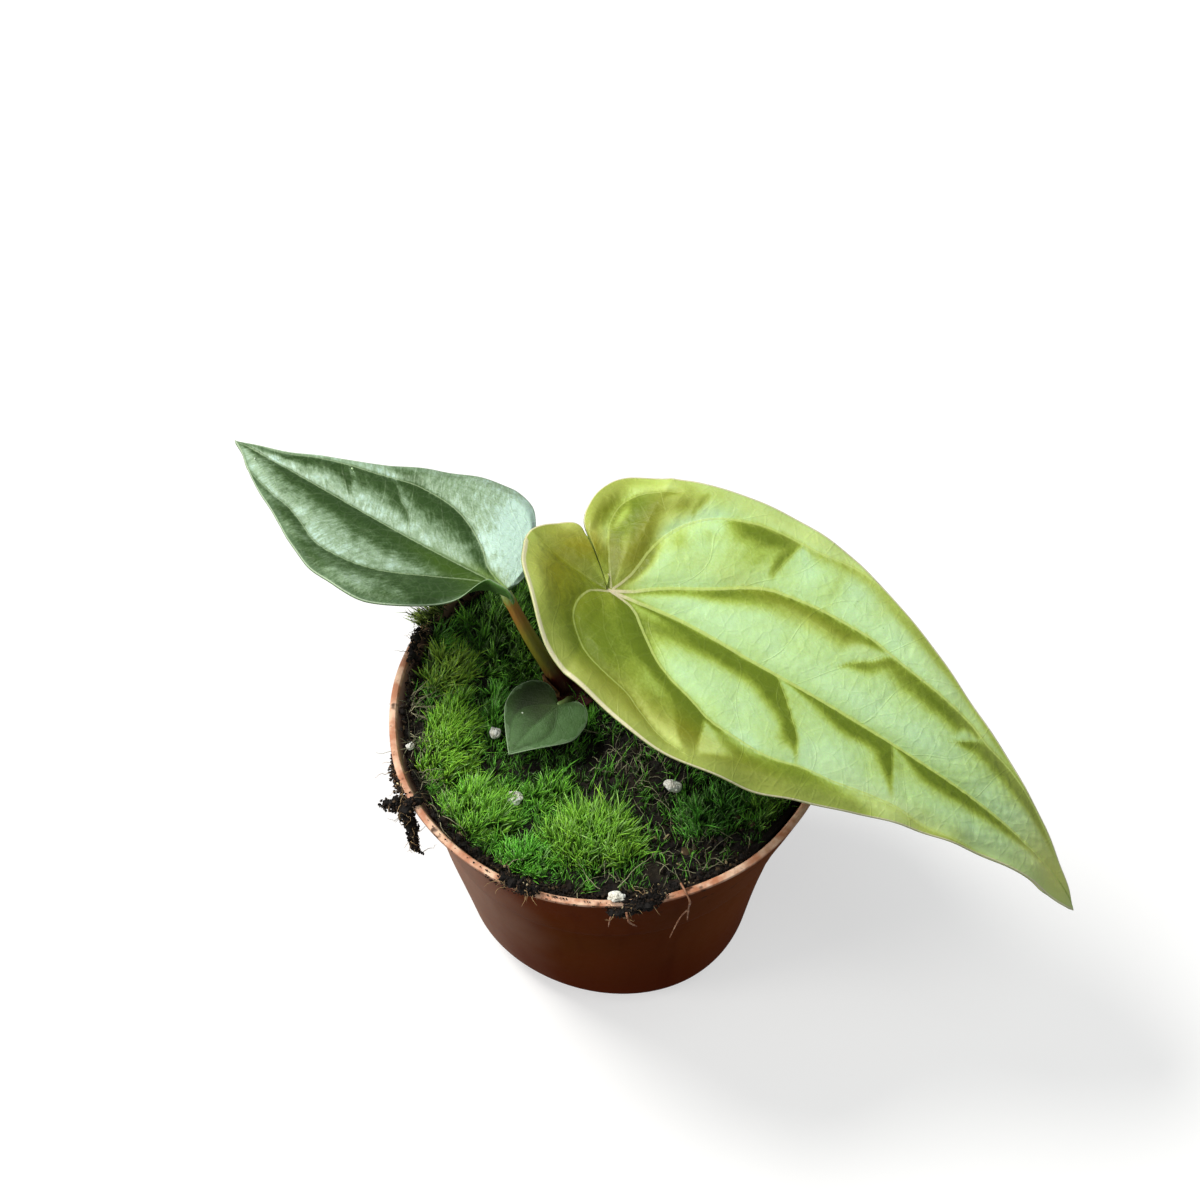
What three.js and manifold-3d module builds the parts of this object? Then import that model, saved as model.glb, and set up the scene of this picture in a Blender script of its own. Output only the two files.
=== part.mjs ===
// Potted anthurium hybrid: a young plant with three leaves in a small flared nursery pot.
// Millimetres, +Z up. The origin is on the pot's axis at the level it stands on.
// +X points to the right of the usual view and +Y away from the viewer.
import * as THREE from 'three';
import { mergeVertices } from 'three/addons/utils/BufferGeometryUtils.js';
import Module from 'manifold-3d';

const wasm = await Module();
wasm.setup();

// Pot sizes
const rimRadius = 30;
const potHeight = 46;
const neckRadius = 25.7;
const neckHeight = 30.4;
const bodyRadius = 23;
const bodyHeight = 16;
const heelRadius = 21;
const heelHeight = 5;
const footRadius = 17.2;
const footCorner = 1.6;
const wallThickness = 1.1;
const floorThickness = 1.4;
const drainRadius = 2;
const drainCircle = 11;
const drainCount = 5;

// Gap that parts lying on or beside each other keep
const seatGap = 0.3;

// Potting mix
const soilLevel = 43.7;
const soilCrown = 0.6;
const soilWave = 0.3;
const soilWaveLength = 15;

// Crown of the plant
const crownPlace = [-5.2, 4.2];
const crownTop = 45.2;
const crownRadius = 3.4;

// A point of a leaf is given by u, its distance from the petiole along the midrib, and v, its
// distance to the left (positive) or right (negative) of the midrib, looking towards the tip.
// Angles are in degrees. Each half is folded up from the midrib and then bends down along an arc.
const largeLeaf = {
  attach: [0, 4, 68],
  length: 80,
  lobeReach: 22,
  heading: -24, headingTurn: 3,
  pitch: -10, pitchTurn: -19, tipDroop: -44,
  roll: 3, rollTurn: 8,
  lobeTurn: 9, lobeRise: 28, lobeRoll: -45,
  left: { fold: 10, bend: 0.002, bendTurn: 0.008, curl: 0, curlReach: 1 },
  right: { fold: 9, bend: 0.002, bendTurn: 0.008, curl: 0, curlReach: 1 },
  thickness: 0.6,
  ribDepth: 0.9,
  lobeShare: 0.24,
  stations: 28,
  stationPoints: 7,
  leftEdge: [
    [-1.2, 1.8], [-4, 4.2], [-7.6, 7.8], [-8.9, 12], [-6.6, 16.5], [0, 18.3], [8.8, 20.6], [16, 21],
    [29, 18.5], [42, 13.4], [56, 7.3], [68, 2.8], [75, 0.9], [80, 0],
  ],
  rightEdge: [
    [-1.6, 0.6], [-4.2, 2.2], [-8.6, 5.2], [-12.6, 3.4], [-12.9, -1.6], [-11, -6.5], [-4, -13.2],
    [5.8, -16.6], [15, -18.4], [26, -17], [41, -12], [55, -7.1], [68, -3.9], [75, -1.9], [80, 0],
  ],
};

const middleLeaf = {
  attach: [-14.2, 8.9, 62],
  length: 45.5,
  lobeReach: 12,
  heading: 150, headingTurn: -6,
  pitch: 0, pitchTurn: 6, tipDroop: -16,
  roll: 4, rollTurn: 0,
  lobeTurn: 0, lobeRise: 12, lobeRoll: 0,
  left: { fold: 8, bend: -0.03, bendTurn: 0.05, curl: -0.21, curlReach: 2.2 },
  right: { fold: 0, bend: 0.005, bendTurn: 0, curl: 0, curlReach: 1 },
  thickness: 0.5,
  ribDepth: 0.8,
  lobeShare: 0.2,
  stations: 20,
  stationPoints: 7,
  leftEdge: [
    [-1.2, 1.4], [-3, 3], [-4, 5.2], [-3, 6.8], [0, 7], [2.8, 7.4], [5, 9.2], [7.6, 12.7],
    [10.2, 15.2], [13, 16.2], [20.6, 14.4], [30.5, 9.1], [39.9, 3.5], [45.5, 0],
  ],
  rightEdge: [
    [-1.2, -1.4], [-1.2, -5], [0.6, -9], [3.2, -13.8], [7, -16], [12, -15.4], [23.6, -10.4],
    [35.6, -3.9], [45.5, 0],
  ],
};

const smallLeaf = {
  attach: [-7.2, -1.2, 49],
  length: 9.4,
  lobeReach: 5,
  heading: 227, headingTurn: 0,
  pitch: -4, pitchTurn: -14, tipDroop: 0,
  roll: 0, rollTurn: 0,
  lobeTurn: 0, lobeRise: 0, lobeRoll: 0,
  left: { fold: 0, bend: 0.03, bendTurn: 0, curl: 0, curlReach: 1 },
  right: { fold: 0, bend: 0.03, bendTurn: 0, curl: 0, curlReach: 1 },
  thickness: 0.4,
  ribDepth: 0.35,
  lobeShare: 0.45,
  stations: 16,
  stationPoints: 5,
  leftEdge: [
    [-0.9, 0.5], [-2.3, 1.6], [-2.3, 3.3], [-1.2, 4.5], [0.5, 5.1], [2.8, 4.9], [6.8, 2], [9.4, 0],
  ],
  rightEdge: [
    [-0.7, -0.6], [-1.5, -2], [-1.7, -3.8], [-1, -5.3], [0.4, -6.2], [2.1, -6.5], [5, -5.2], [9.4, 0],
  ],
};

// Blade rows stop just short of the tip, and the lobes' rows fan out over a short length of midrib
const lastRow = 0.985;
const midribEnd = 0.99;
const fanLength = 0.02;
const edgeThinning = 0.5;
const ribThinning = 0.8;

// Petioles: path points from the crown towards the blade, where a last point under the blade is added
const largePetiole = {
  path: [[-3.6, 5.2, 45.8], [-3.9, 6, 52], [-2.9, 5.8, 60]],
  radii: [1.45, 1.2, 1.1, 1.35],
};
const middlePetiole = {
  path: [[-6.9, 4.6, 46.1], [-8.4, 5, 49.5], [-11, 6.3, 54.8]],
  radii: [1.35, 1.2, 1.05, 1.1],
};
const smallPetiole = {
  path: [[-5.6, 1.9, 45.9], [-5.6, 1.2, 47], [-6.1, 0, 48.2]],
  radii: [0.6, 0.5, 0.45, 0.45],
};
const petioleGap = 0.45;
const petioleSteps = 10;
const petioleSides = 8;

// Dry sheaths at the foot of the two big petioles: middle, facing and half spread in degrees
const largeSheath = { x: -3.6, y: 5.2, facing: 10, spread: 100, radius: 1.8, height: 5 };
const middleSheath = { x: -6.9, y: 4.6, facing: 215, spread: 55, radius: 1.75, height: 3 };
const sheathThickness = 0.35;
const sheathSlant = 0.55;
const sheathFlare = 0.12;
const sheathRows = 10;
const sheathLevels = 3;

// Roots: steps from the crown's middle and heights, and the radii along each
const rootRuns = [
  [[0, 0, 37], [-6, 2, 31], [-9, 3, 22], [-8, 5, 12]],
  [[0, 0, 36], [6, -6, 30], [11, -9, 21], [10, -8, 11]],
  [[0, 0, 34], [5, 5, 27], [9, 8, 18], [10, 7, 9]],
  [[0.4, 0, 31], [-2, -5, 24], [-3, -9, 15], [-1, -10, 7]],
];
const rootRadii = [0.9, 0.8, 0.7, 0.5];
const rootSides = 6;
const stemRun = [[0.6, -0.2, 29], [0.2, 0, 34], [0, 0, 40], [0, 0, crownTop]];
const stemRadii = [1.4, 2.4, 3.2, crownRadius];
const stemSides = 14;
const stemSteps = 8;

// Moss cushions: centre, half widths, turn in degrees and height
const mossCushions = {
  moss_left: { x: -22, y: -4.3, rx: 3.5, ry: 7.2, turn: -4, height: 3 },
  moss_front_left: { x: -17.4, y: -15.6, rx: 4.6, ry: 3.6, turn: -40, height: 3 },
  moss_lower_left: { x: -10.9, y: -22.4, rx: 3.2, ry: 2.1, turn: -26, height: 2.4 },
  moss_front: { x: -2.2, y: -19.6, rx: 6.4, ry: 4.2, turn: 0, height: 4 },
  moss_middle: { x: -7, y: -12.4, rx: 4, ry: 2.3, turn: 6, height: 3 },
  moss_inner_left: { x: -16.2, y: 0.9, rx: 1.7, ry: 3.2, turn: -6, height: 2.6 },
  moss_right: { x: 13.6, y: -15.4, rx: 5, ry: 3.3, turn: 30, height: 2.8 },
  moss_far_right: { x: 20.2, y: -14.6, rx: 1.8, ry: 2.8, turn: -38, height: 2.6 },
  moss_back_left: { x: -13.4, y: 13.6, rx: 6.8, ry: 7.4, turn: 8, height: 2.8 },
  moss_upper_left: { x: -23.4, y: 7.6, rx: 2.6, ry: 3.2, turn: 0, height: 2.4 },
  moss_back: { x: -1, y: 21.6, rx: 4.6, ry: 4.6, turn: 0, height: 3 },
  moss_back_right: { x: 13.4, y: 14, rx: 7, ry: 5.4, turn: -40, height: 2.6 },
};
const cushionEdge = 0.5;
const cushionPoints = 14;
const cushionRings = [0.25, 0.5, 0.75, 0.93];
const cushionUnderside = [0.97, 0.5];
const cushionRoughness = 0.12;

// Perlite grains: place on the mix and half sizes
const perliteGrains = {
  perlite_left: { x: -15.2, y: -3.9, size: [0.85, 0.9, 0.75] },
  perlite_front_left: { x: -12.6, y: -13.4, size: [1.1, 1, 0.85] },
  perlite_right: { x: 8.2, y: -10.9, size: [1.1, 0.9, 0.85] },
  perlite_inner_rim: { x: -27, y: -4.9, size: [0.55, 0.65, 0.5] },
  perlite_back: { x: 5, y: 14.6, size: [1.1, 0.9, 0.8] },
};
const rimGrain = { x: 1, y: -28.9, z: 47.05, size: [1.3, 0.75, 0.7] };
const grainRoughness = 0.22;

// Potting mix that lies over the rim: path points and radii of each lump, as it dried there
const leftSpill = [
  {
    path: [
      [-24.6, -13.9, 45.9], [-26.4, -15.2, 46.6], [-27.3, -16, 45], [-26.6, -16.5, 42],
      [-26.1, -17.1, 39], [-24.9, -17.5, 36.8],
    ],
    radii: [0.8, 1.1, 1.3, 1.1, 0.95, 0.4],
  },
  { path: [[-27, -15.6, 45], [-28.8, -14.9, 45.2], [-30.2, -14.6, 45.2]], radii: [1.1, 1, 0.6] },
  {
    path: [[-28, -14.4, 45.4], [-28.9, -11.8, 45.6], [-29.2, -9.6, 45.8], [-29.3, -7.8, 45.3]],
    radii: [1, 1.2, 1.3, 0.8],
  },
];
const upperLeftSpill = [
  {
    path: [[-27.2, 8.2, 46.9], [-26.6, 10.6, 47.7], [-26.2, 12.8, 48.3], [-26.4, 14.6, 48.6]],
    radii: [0.8, 1.3, 1.5, 1],
  },
  { path: [[-26, 12.6, 48], [-24.8, 11.4, 46.4]], radii: [1.4, 1.1] },
];
const frontLeftSpill = [
  { path: [[-13.7, -26.2, 46.8], [-11.3, -27.7, 46.9], [-9.3, -28.2, 46.7]], radii: [0.9, 1.2, 0.8] },
];
const frontSpill = [
  {
    path: [[0.2, -30.4, 45.2], [2, -30.4, 45.5], [4.7, -29.4, 46.1], [7.2, -28.5, 46.7]],
    radii: [0.6, 1, 1.5, 0.8],
  },
];
const lumpPoints = 10;
const lumpSteps = 7;
const lumpRoughness = 0.16;

// Pale root fibres that hang over the front of the rim
const fibreRadius = 0.2;
const fibrePoints = 6;
const fibreSteps = 10;
const rightFibre = [
  {
    path: [
      [9.3, -26.8, 46.6], [10, -28.4, 46.7], [10.5, -29, 45.6], [10.4, -28.7, 43.6], [10.3, -28.9, 40.6],
    ],
    radii: [1, 1, 1, 1, 0.7],
  },
  { path: [[10.4, -28.7, 43.2], [9.3, -28.9, 41], [8.1, -29.5, 36.8]], radii: [1, 0.9, 0.7] },
];
const frontFibre = [
  { path: [[2.5, -31.8, 45.9], [2.8, -31.6, 44.6], [3.7, -31, 42.6]], radii: [1, 1, 0.7] },
];

const degree = Math.PI / 180;

// Colours, roughness and metalness
function finish(color, roughness) {
  return new THREE.MeshStandardMaterial({ color, roughness, metalness: 0 });
}
const terracottaPlastic = finish(0x9a4a2a, 0.55);
const pottingMixFinish = finish(0x1d140f, 0.95);
const stemFinish = finish(0x3a1512, 0.6);
const youngBladeFinish = finish(0xa9c458, 0.35);
const silverBladeFinish = finish(0x7f9c7c, 0.45);
const juvenileBladeFinish = finish(0x5f7a58, 0.45);
const petioleFinish = finish(0x6b5a1e, 0.5);
const mossFinish = finish(0x4f7d1c, 0.85);
const perliteFinish = finish(0xe6e6dc, 0.9);
const rootFinish = finish(0xd8b48e, 0.7);

const plant = new THREE.Group();

function addPiece(name, geometry, material) {
  const piece = new THREE.Mesh(geometry, material);
  piece.name = name;
  plant.add(piece);
}

// Six times the volume inside the triangles: negative when they face inwards
function signedVolume(positions, index) {
  const a = new THREE.Vector3();
  const b = new THREE.Vector3();
  const c = new THREE.Vector3();
  let sum = 0;
  for (let i = 0; i < index.length; i += 3) {
    a.fromArray(positions, 3 * index[i]);
    b.fromArray(positions, 3 * index[i + 1]);
    c.fromArray(positions, 3 * index[i + 2]);
    sum += a.dot(b.cross(c));
  }
  return sum;
}

function solidFrom(points, index) {
  const positions = points.flatMap((p) => [p.x, p.y, p.z]);
  if (signedVolume(positions, index) < 0) {
    index.reverse();
  }
  const geometry = new THREE.BufferGeometry();
  geometry.setAttribute('position', new THREE.Float32BufferAttribute(positions, 3));
  geometry.setIndex(index);
  return geometry;
}

// A closed skin over rings with equal numbers of points, closed at each end on the ring's middle
function ringSolid(rings) {
  const count = rings[0].length;
  const points = rings.flat();
  const index = [];
  for (let ring = 0; ring + 1 < rings.length; ring += 1) {
    for (let i = 0; i < count; i += 1) {
      const a = ring * count + i;
      const b = ring * count + (i + 1) % count;
      index.push(a, b, a + count, b, b + count, a + count);
    }
  }
  const lastRing = (rings.length - 1) * count;
  const firstMiddle = points.push(middleOf(rings[0])) - 1;
  const lastMiddle = points.push(middleOf(rings.at(-1))) - 1;
  for (let i = 0; i < count; i += 1) {
    const next = (i + 1) % count;
    index.push(next, i, firstMiddle);
    index.push(lastRing + i, lastRing + next, lastMiddle);
  }
  return solidFrom(points, index);
}

function middleOf(ring) {
  const sum = new THREE.Vector3();
  for (const point of ring) {
    sum.add(point);
  }
  return sum.divideScalar(ring.length);
}

// A closed sheet: each station is a row of upper points with the lower points under them
function sheetSolid(stations) {
  const count = stations[0].upper.length;
  const rings = stations.map(({ upper, lower }) => [...upper, ...lower.toReversed()]);
  const around = 2 * count;
  const points = rings.flat();
  const index = [];
  for (let ring = 0; ring + 1 < rings.length; ring += 1) {
    for (let i = 0; i < around; i += 1) {
      const a = ring * around + i;
      const b = ring * around + (i + 1) % around;
      index.push(a, b, a + around, b, b + around, a + around);
    }
  }
  const lastRing = (rings.length - 1) * around;
  for (let i = 0; i + 1 < count; i += 1) {
    const under = around - 1 - i;
    index.push(i, under, i + 1, i + 1, under, under - 1);
    index.push(lastRing + i, lastRing + i + 1, lastRing + under);
    index.push(lastRing + i + 1, lastRing + under - 1, lastRing + under);
  }
  return solidFrom(points, index);
}

// A solid for joining and cutting
function toSolid(geometry) {
  const bare = geometry.clone();
  bare.deleteAttribute('normal');
  bare.deleteAttribute('uv');
  const merged = mergeVertices(bare);
  return new wasm.Manifold(new wasm.Mesh({
    numProp: 3,
    vertProperties: new Float32Array(merged.attributes.position.array),
    triVerts: new Uint32Array(merged.index.array),
  }));
}

function toGeometry(solid) {
  const mesh = solid.getMesh();
  const geometry = new THREE.BufferGeometry();
  geometry.setAttribute('position', new THREE.BufferAttribute(mesh.vertProperties, 3));
  geometry.setIndex(new THREE.BufferAttribute(mesh.triVerts, 1));
  return geometry;
}

function joined(solids) {
  return solids.reduce((sum, solid) => sum.add(solid));
}

// Smooth unevenness between -1 and 1 that depends only on the place
function unevenness(x, y, z) {
  const broad = 0.5 * Math.sin(2.1 * x + 1.3 * z) + 0.3 * Math.sin(2.7 * y - 1.9 * x);
  return broad + 0.2 * Math.sin(3.3 * z + 2.2 * y);
}

// A round solid along a smooth path, with a radius for each path point and roughness as a share of it
function limbSolid({ path, radii }, steps, sides, scale = 1, grow = 0, roughness = 0) {
  const curve = new THREE.CatmullRomCurve3(path.map((p) => new THREE.Vector3(...p)));
  const sizes = new THREE.SplineCurve(radii.map((r, i) => new THREE.Vector2(i / (radii.length - 1), r)));
  const frames = curve.computeFrenetFrames(steps);
  const rings = [];
  for (let step = 0; step <= steps; step += 1) {
    const middle = curve.getPointAt(step / steps);
    const radius = sizes.getPoint(step / steps).y * scale + grow;
    rings.push(roundRing(middle, frames.normals[step], frames.binormals[step], radius, sides, roughness));
  }
  return ringSolid(rings);
}

function roundRing(middle, sideways, upwards, radius, sides, roughness) {
  const ring = [];
  for (let i = 0; i < sides; i += 1) {
    const angle = 2 * Math.PI * i / sides;
    const out = sideways.clone().multiplyScalar(Math.cos(angle)).addScaledVector(upwards, Math.sin(angle));
    const point = middle.clone().addScaledVector(out, radius);
    const swell = 1 + roughness * unevenness(point.x, point.y, point.z);
    ring.push(middle.clone().addScaledVector(out, radius * swell));
  }
  return ring;
}

// Pot

// The pot's outside from the foot to the rim, as radius and height
const potOutside = [
  [footRadius, 0],
  [footRadius + footCorner * 0.7, footCorner * 0.3],
  [footRadius + footCorner, footCorner],
  [heelRadius, heelHeight],
  [bodyRadius, bodyHeight],
  [neckRadius, neckHeight],
  [neckRadius + 0.6, neckHeight + 0.8],
  [rimRadius - 0.15, potHeight - 0.7],
  [rimRadius, potHeight - 0.3],
  [rimRadius - 0.3, potHeight],
];

function outsideRadius(height) {
  const above = potOutside.findIndex(([, z]) => z >= height);
  const [upperRadius, upperHeight] = potOutside[above];
  const [lowerRadius, lowerHeight] = potOutside[Math.max(above - 1, 0)];
  const share = upperHeight === lowerHeight ? 1 : (height - lowerHeight) / (upperHeight - lowerHeight);
  return lowerRadius + share * (upperRadius - lowerRadius);
}

function insideRadius(height) {
  return outsideRadius(height) - wallThickness;
}

function turned(profile, segments) {
  const points = profile.map(([radius, height]) => new THREE.Vector2(radius, height));
  const geometry = new THREE.LatheGeometry(points, segments);
  geometry.rotateX(90 * degree);
  geometry.deleteAttribute('normal');
  geometry.deleteAttribute('uv');
  const merged = mergeVertices(geometry, 1e-4);
  const index = [];
  for (let i = 0; i < merged.index.count; i += 3) {
    const [a, b, c] = merged.index.array.slice(i, i + 3);
    if (a !== b && b !== c && c !== a) {
      index.push(a, b, c);
    }
  }
  if (signedVolume(merged.attributes.position.array, index) < 0) {
    index.reverse();
  }
  merged.setIndex(index);
  return merged;
}

const potSegments = 40;
const insideHeights = [
  potHeight - 0.5, neckHeight + 2.2, neckHeight, bodyHeight, heelHeight, floorThickness + 1.2,
];

// The pot's wall and floor, grown by a gap on every side
function potShell(gap) {
  const outside = potOutside.map(([radius, height]) => [radius + gap, height + (height > 1 ? gap : -gap)]);
  const inside = insideHeights.map((height) => [insideRadius(height) - gap, height]);
  const top = [insideRadius(potHeight - 0.5) + 0.2, potHeight + gap];
  const corner = [insideRadius(heelHeight) - 2.6 - gap, floorThickness + gap];
  return turned([[0, -gap], ...outside, top, ...inside, corner, [0, floorThickness + gap]], potSegments);
}

function pot() {
  let shell = toSolid(potShell(0));
  for (let i = 0; i < drainCount; i += 1) {
    const angle = (90 + 360 * i / drainCount) * degree;
    const hole = new THREE.CylinderGeometry(drainRadius, drainRadius, 4 * floorThickness, 16);
    hole.rotateX(90 * degree);
    hole.translate(drainCircle * Math.cos(angle), drainCircle * Math.sin(angle), 0);
    shell = shell.subtract(toSolid(hole));
  }
  return toGeometry(shell);
}
addPiece('pot', pot(), terracottaPlastic);

// Potting mix

function soilHeight(x, y) {
  const share = 1 - (x * x + y * y) / (rimRadius * rimRadius);
  const turn = 2 * Math.PI / soilWaveLength;
  const wave = Math.sin(turn * x + 0.6) * Math.cos(turn * y) + 0.5 * Math.sin(turn * (y - x));
  return soilLevel + soilCrown * share + soilWave * wave;
}

// The mix that fills the pot to a wall gap, with its top raised by the same growth
function mixBlock(growth) {
  const sides = 36;
  const topRings = 7;
  const edgeRadius = insideRadius(soilLevel - 1) - seatGap - 0.15 + growth;
  const rings = [];
  for (let ring = 1; ring <= topRings; ring += 1) {
    rings.push(levelRing(sides, edgeRadius * ring / topRings, (x, y) => soilHeight(x, y) + growth));
  }
  for (const height of [neckHeight + 2, neckHeight - 0.5, bodyHeight, heelHeight, floorThickness + 1.3]) {
    const radius = insideRadius(height) - seatGap - 0.1 + growth;
    rings.push(levelRing(sides, radius - (height < heelHeight ? 1.6 : 0), () => height));
  }
  const floorRadius = insideRadius(heelHeight) - 3.6;
  rings.push(levelRing(sides, floorRadius, () => floorThickness + seatGap));
  return ringSolid(rings);
}

function levelRing(sides, radius, heightAt) {
  const ring = [];
  for (let i = 0; i < sides; i += 1) {
    const angle = 2 * Math.PI * i / sides;
    const x = radius * Math.cos(angle);
    const y = radius * Math.sin(angle);
    ring.push(new THREE.Vector3(x, y, heightAt(x, y)));
  }
  return ring;
}

// Stem with its roots, grown as one piece; the mix has a channel for it
const [crownX, crownY] = crownPlace;
function fromCrown(run) {
  return run.map(([x, y, z]) => [crownX + x, crownY + y, z]);
}

function stemSolid(growth) {
  const stem = { path: fromCrown(stemRun), radii: stemRadii };
  const solids = [toSolid(limbSolid(stem, stemSteps, stemSides, 1, growth))];
  for (const run of rootRuns) {
    const root = { path: fromCrown(run), radii: rootRadii };
    solids.push(toSolid(limbSolid(root, stemSteps, rootSides, 1, growth)));
  }
  return joined(solids);
}

addPiece('stem_and_roots', toGeometry(stemSolid(0)), stemFinish);
addPiece('potting_mix', toGeometry(toSolid(mixBlock(0)).subtract(stemSolid(seatGap))), pottingMixFinish);

// Leaves

function spineAngles(leaf, u) {
  if (u >= 0) {
    const share = u / leaf.length;
    return {
      heading: leaf.heading + leaf.headingTurn * share,
      pitch: leaf.pitch + leaf.pitchTurn * share + leaf.tipDroop * share ** 4,
      roll: leaf.roll + leaf.rollTurn * share,
    };
  }
  const share = -u / leaf.lobeReach;
  return {
    heading: leaf.heading - leaf.lobeTurn * share,
    pitch: leaf.pitch - leaf.lobeRise * share,
    roll: leaf.roll + leaf.lobeRoll * share,
  };
}

function directionOf(heading, pitch) {
  const level = Math.cos(pitch * degree);
  return new THREE.Vector3(
    level * Math.cos(heading * degree),
    level * Math.sin(heading * degree),
    Math.sin(pitch * degree),
  );
}

// Place and axes of the midrib at u, walked from the petiole in steps of about a millimetre
function spineFrame(leaf, u) {
  const steps = Math.max(1, Math.ceil(Math.abs(u)));
  const place = new THREE.Vector3(...leaf.attach);
  for (let i = 0; i < steps; i += 1) {
    const { heading, pitch } = spineAngles(leaf, u * (i + 0.5) / steps);
    place.addScaledVector(directionOf(heading, pitch), u / steps);
  }
  const { heading, pitch, roll } = spineAngles(leaf, u);
  const along = directionOf(heading, pitch);
  const level = new THREE.Vector3(-Math.sin(heading * degree), Math.cos(heading * degree), 0);
  const upright = new THREE.Vector3().crossVectors(along, level);
  const sideways = level.clone().multiplyScalar(Math.cos(roll * degree));
  sideways.addScaledVector(upright, Math.sin(roll * degree));
  const up = upright.multiplyScalar(Math.cos(roll * degree)).addScaledVector(level, -Math.sin(roll * degree));
  return { place, sideways, up };
}

// The leaf's surface at u, v, moved by lift along its upward normal
function leafPoint(leaf, u, v, lift) {
  const { place, sideways, up } = spineFrame(leaf, u);
  const half = v >= 0 ? leaf.left : leaf.right;
  const share = Math.max(u, 0) / leaf.length;
  const reach = Math.max(u, 0) / half.curlReach;
  const bend = half.bend + half.bendTurn * share + half.curl * Math.exp(-reach * reach) || 1e-6;
  const distance = Math.abs(v);
  const fold = half.fold * degree;
  const arcOut = Math.sin(bend * distance) / bend;
  const arcUp = (Math.cos(bend * distance) - 1) / bend;
  const out = arcOut * Math.cos(fold) - arcUp * Math.sin(fold);
  const rise = arcOut * Math.sin(fold) + arcUp * Math.cos(fold);
  const slope = distance > 0 ? fold - bend * distance : 0;
  const facing = Math.sign(v);
  return place.addScaledVector(sideways, facing * (out - lift * Math.sin(slope)))
    .addScaledVector(up, rise + lift * Math.cos(slope));
}

function edgeCurve(points) {
  return new THREE.SplineCurve(points.map(([u, v]) => new THREE.Vector2(u, v)));
}

// A blade as a sheet whose rows run from the left edge across the midrib to the right edge. In the
// lobes the rows fan out from the petiole.
function blade(leaf) {
  const edges = [edgeCurve(leaf.leftEdge), edgeCurve(leaf.rightEdge)];
  const stations = [];
  for (let i = 0; i < leaf.stations; i += 1) {
    const share = lastRow * i / (leaf.stations - 1);
    const beyondLobes = Math.max(0, share - leaf.lobeShare) / (1 - leaf.lobeShare);
    const middle = fanLength * leaf.length * (Math.min(1, share / leaf.lobeShare) - 0.5);
    const spineU = middle + (leaf.length * midribEnd - middle) * beyondLobes;
    const upper = [];
    const lower = [];
    for (let j = -leaf.stationPoints; j <= leaf.stationPoints; j += 1) {
      const edge = edges[j < 0 ? 0 : 1].getPointAt(share);
      const across = Math.abs(j) / leaf.stationPoints;
      const u = spineU + (edge.x - spineU) * across;
      const v = edge.y * across;
      const taper = 1 - edgeThinning * across * across;
      const ribLength = u > 0 ? 1 - ribThinning * beyondLobes : Math.exp(u);
      const rib = leaf.ribDepth * Math.exp(-v * v) * ribLength;
      upper.push(leafPoint(leaf, u, v, leaf.thickness * taper / 2));
      lower.push(leafPoint(leaf, u, v, -leaf.thickness * taper / 2 - rib));
    }
    stations.push({ upper, lower });
  }
  return sheetSolid(stations);
}

// A petiole from the crown to just under its blade
function petiole({ path, radii }, leaf) {
  const end = leafPoint(leaf, 0, 0, -leaf.thickness / 2 - leaf.ribDepth - petioleGap);
  return limbSolid({ path: [...path, end.toArray()], radii }, petioleSteps, petioleSides);
}

addPiece('blade_large', blade(largeLeaf), youngBladeFinish);
addPiece('blade_middle', blade(middleLeaf), silverBladeFinish);
addPiece('blade_small', blade(smallLeaf), juvenileBladeFinish);
addPiece('petiole_large', petiole(largePetiole, largeLeaf), petioleFinish);
addPiece('petiole_middle', petiole(middlePetiole, middleLeaf), petioleFinish);
addPiece('petiole_small', petiole(smallPetiole, smallLeaf), petioleFinish);

// A dry sheath round a petiole's foot: an open half cone with a slanted lip
function sheath({ x, y, facing, spread, radius, height }) {
  const stations = [];
  for (let i = 0; i <= sheathRows; i += 1) {
    const turn = 2 * i / sheathRows - 1;
    const angle = (facing + spread * turn) * degree;
    const top = height * (1 - sheathSlant * turn * turn);
    const upper = [];
    const lower = [];
    for (let level = 0; level <= sheathLevels; level += 1) {
      const z = crownTop + seatGap + top * level / sheathLevels;
      const inner = radius + sheathFlare * level;
      const outer = inner + sheathThickness;
      upper.push(new THREE.Vector3(x + outer * Math.cos(angle), y + outer * Math.sin(angle), z));
      lower.push(new THREE.Vector3(x + inner * Math.cos(angle), y + inner * Math.sin(angle), z));
    }
    stations.push({ upper, lower });
  }
  return sheetSolid(stations);
}
addPiece('sheath_large', sheath(largeSheath), stemFinish);
addPiece('sheath_middle', sheath(middleSheath), stemFinish);

// Moss

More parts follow.
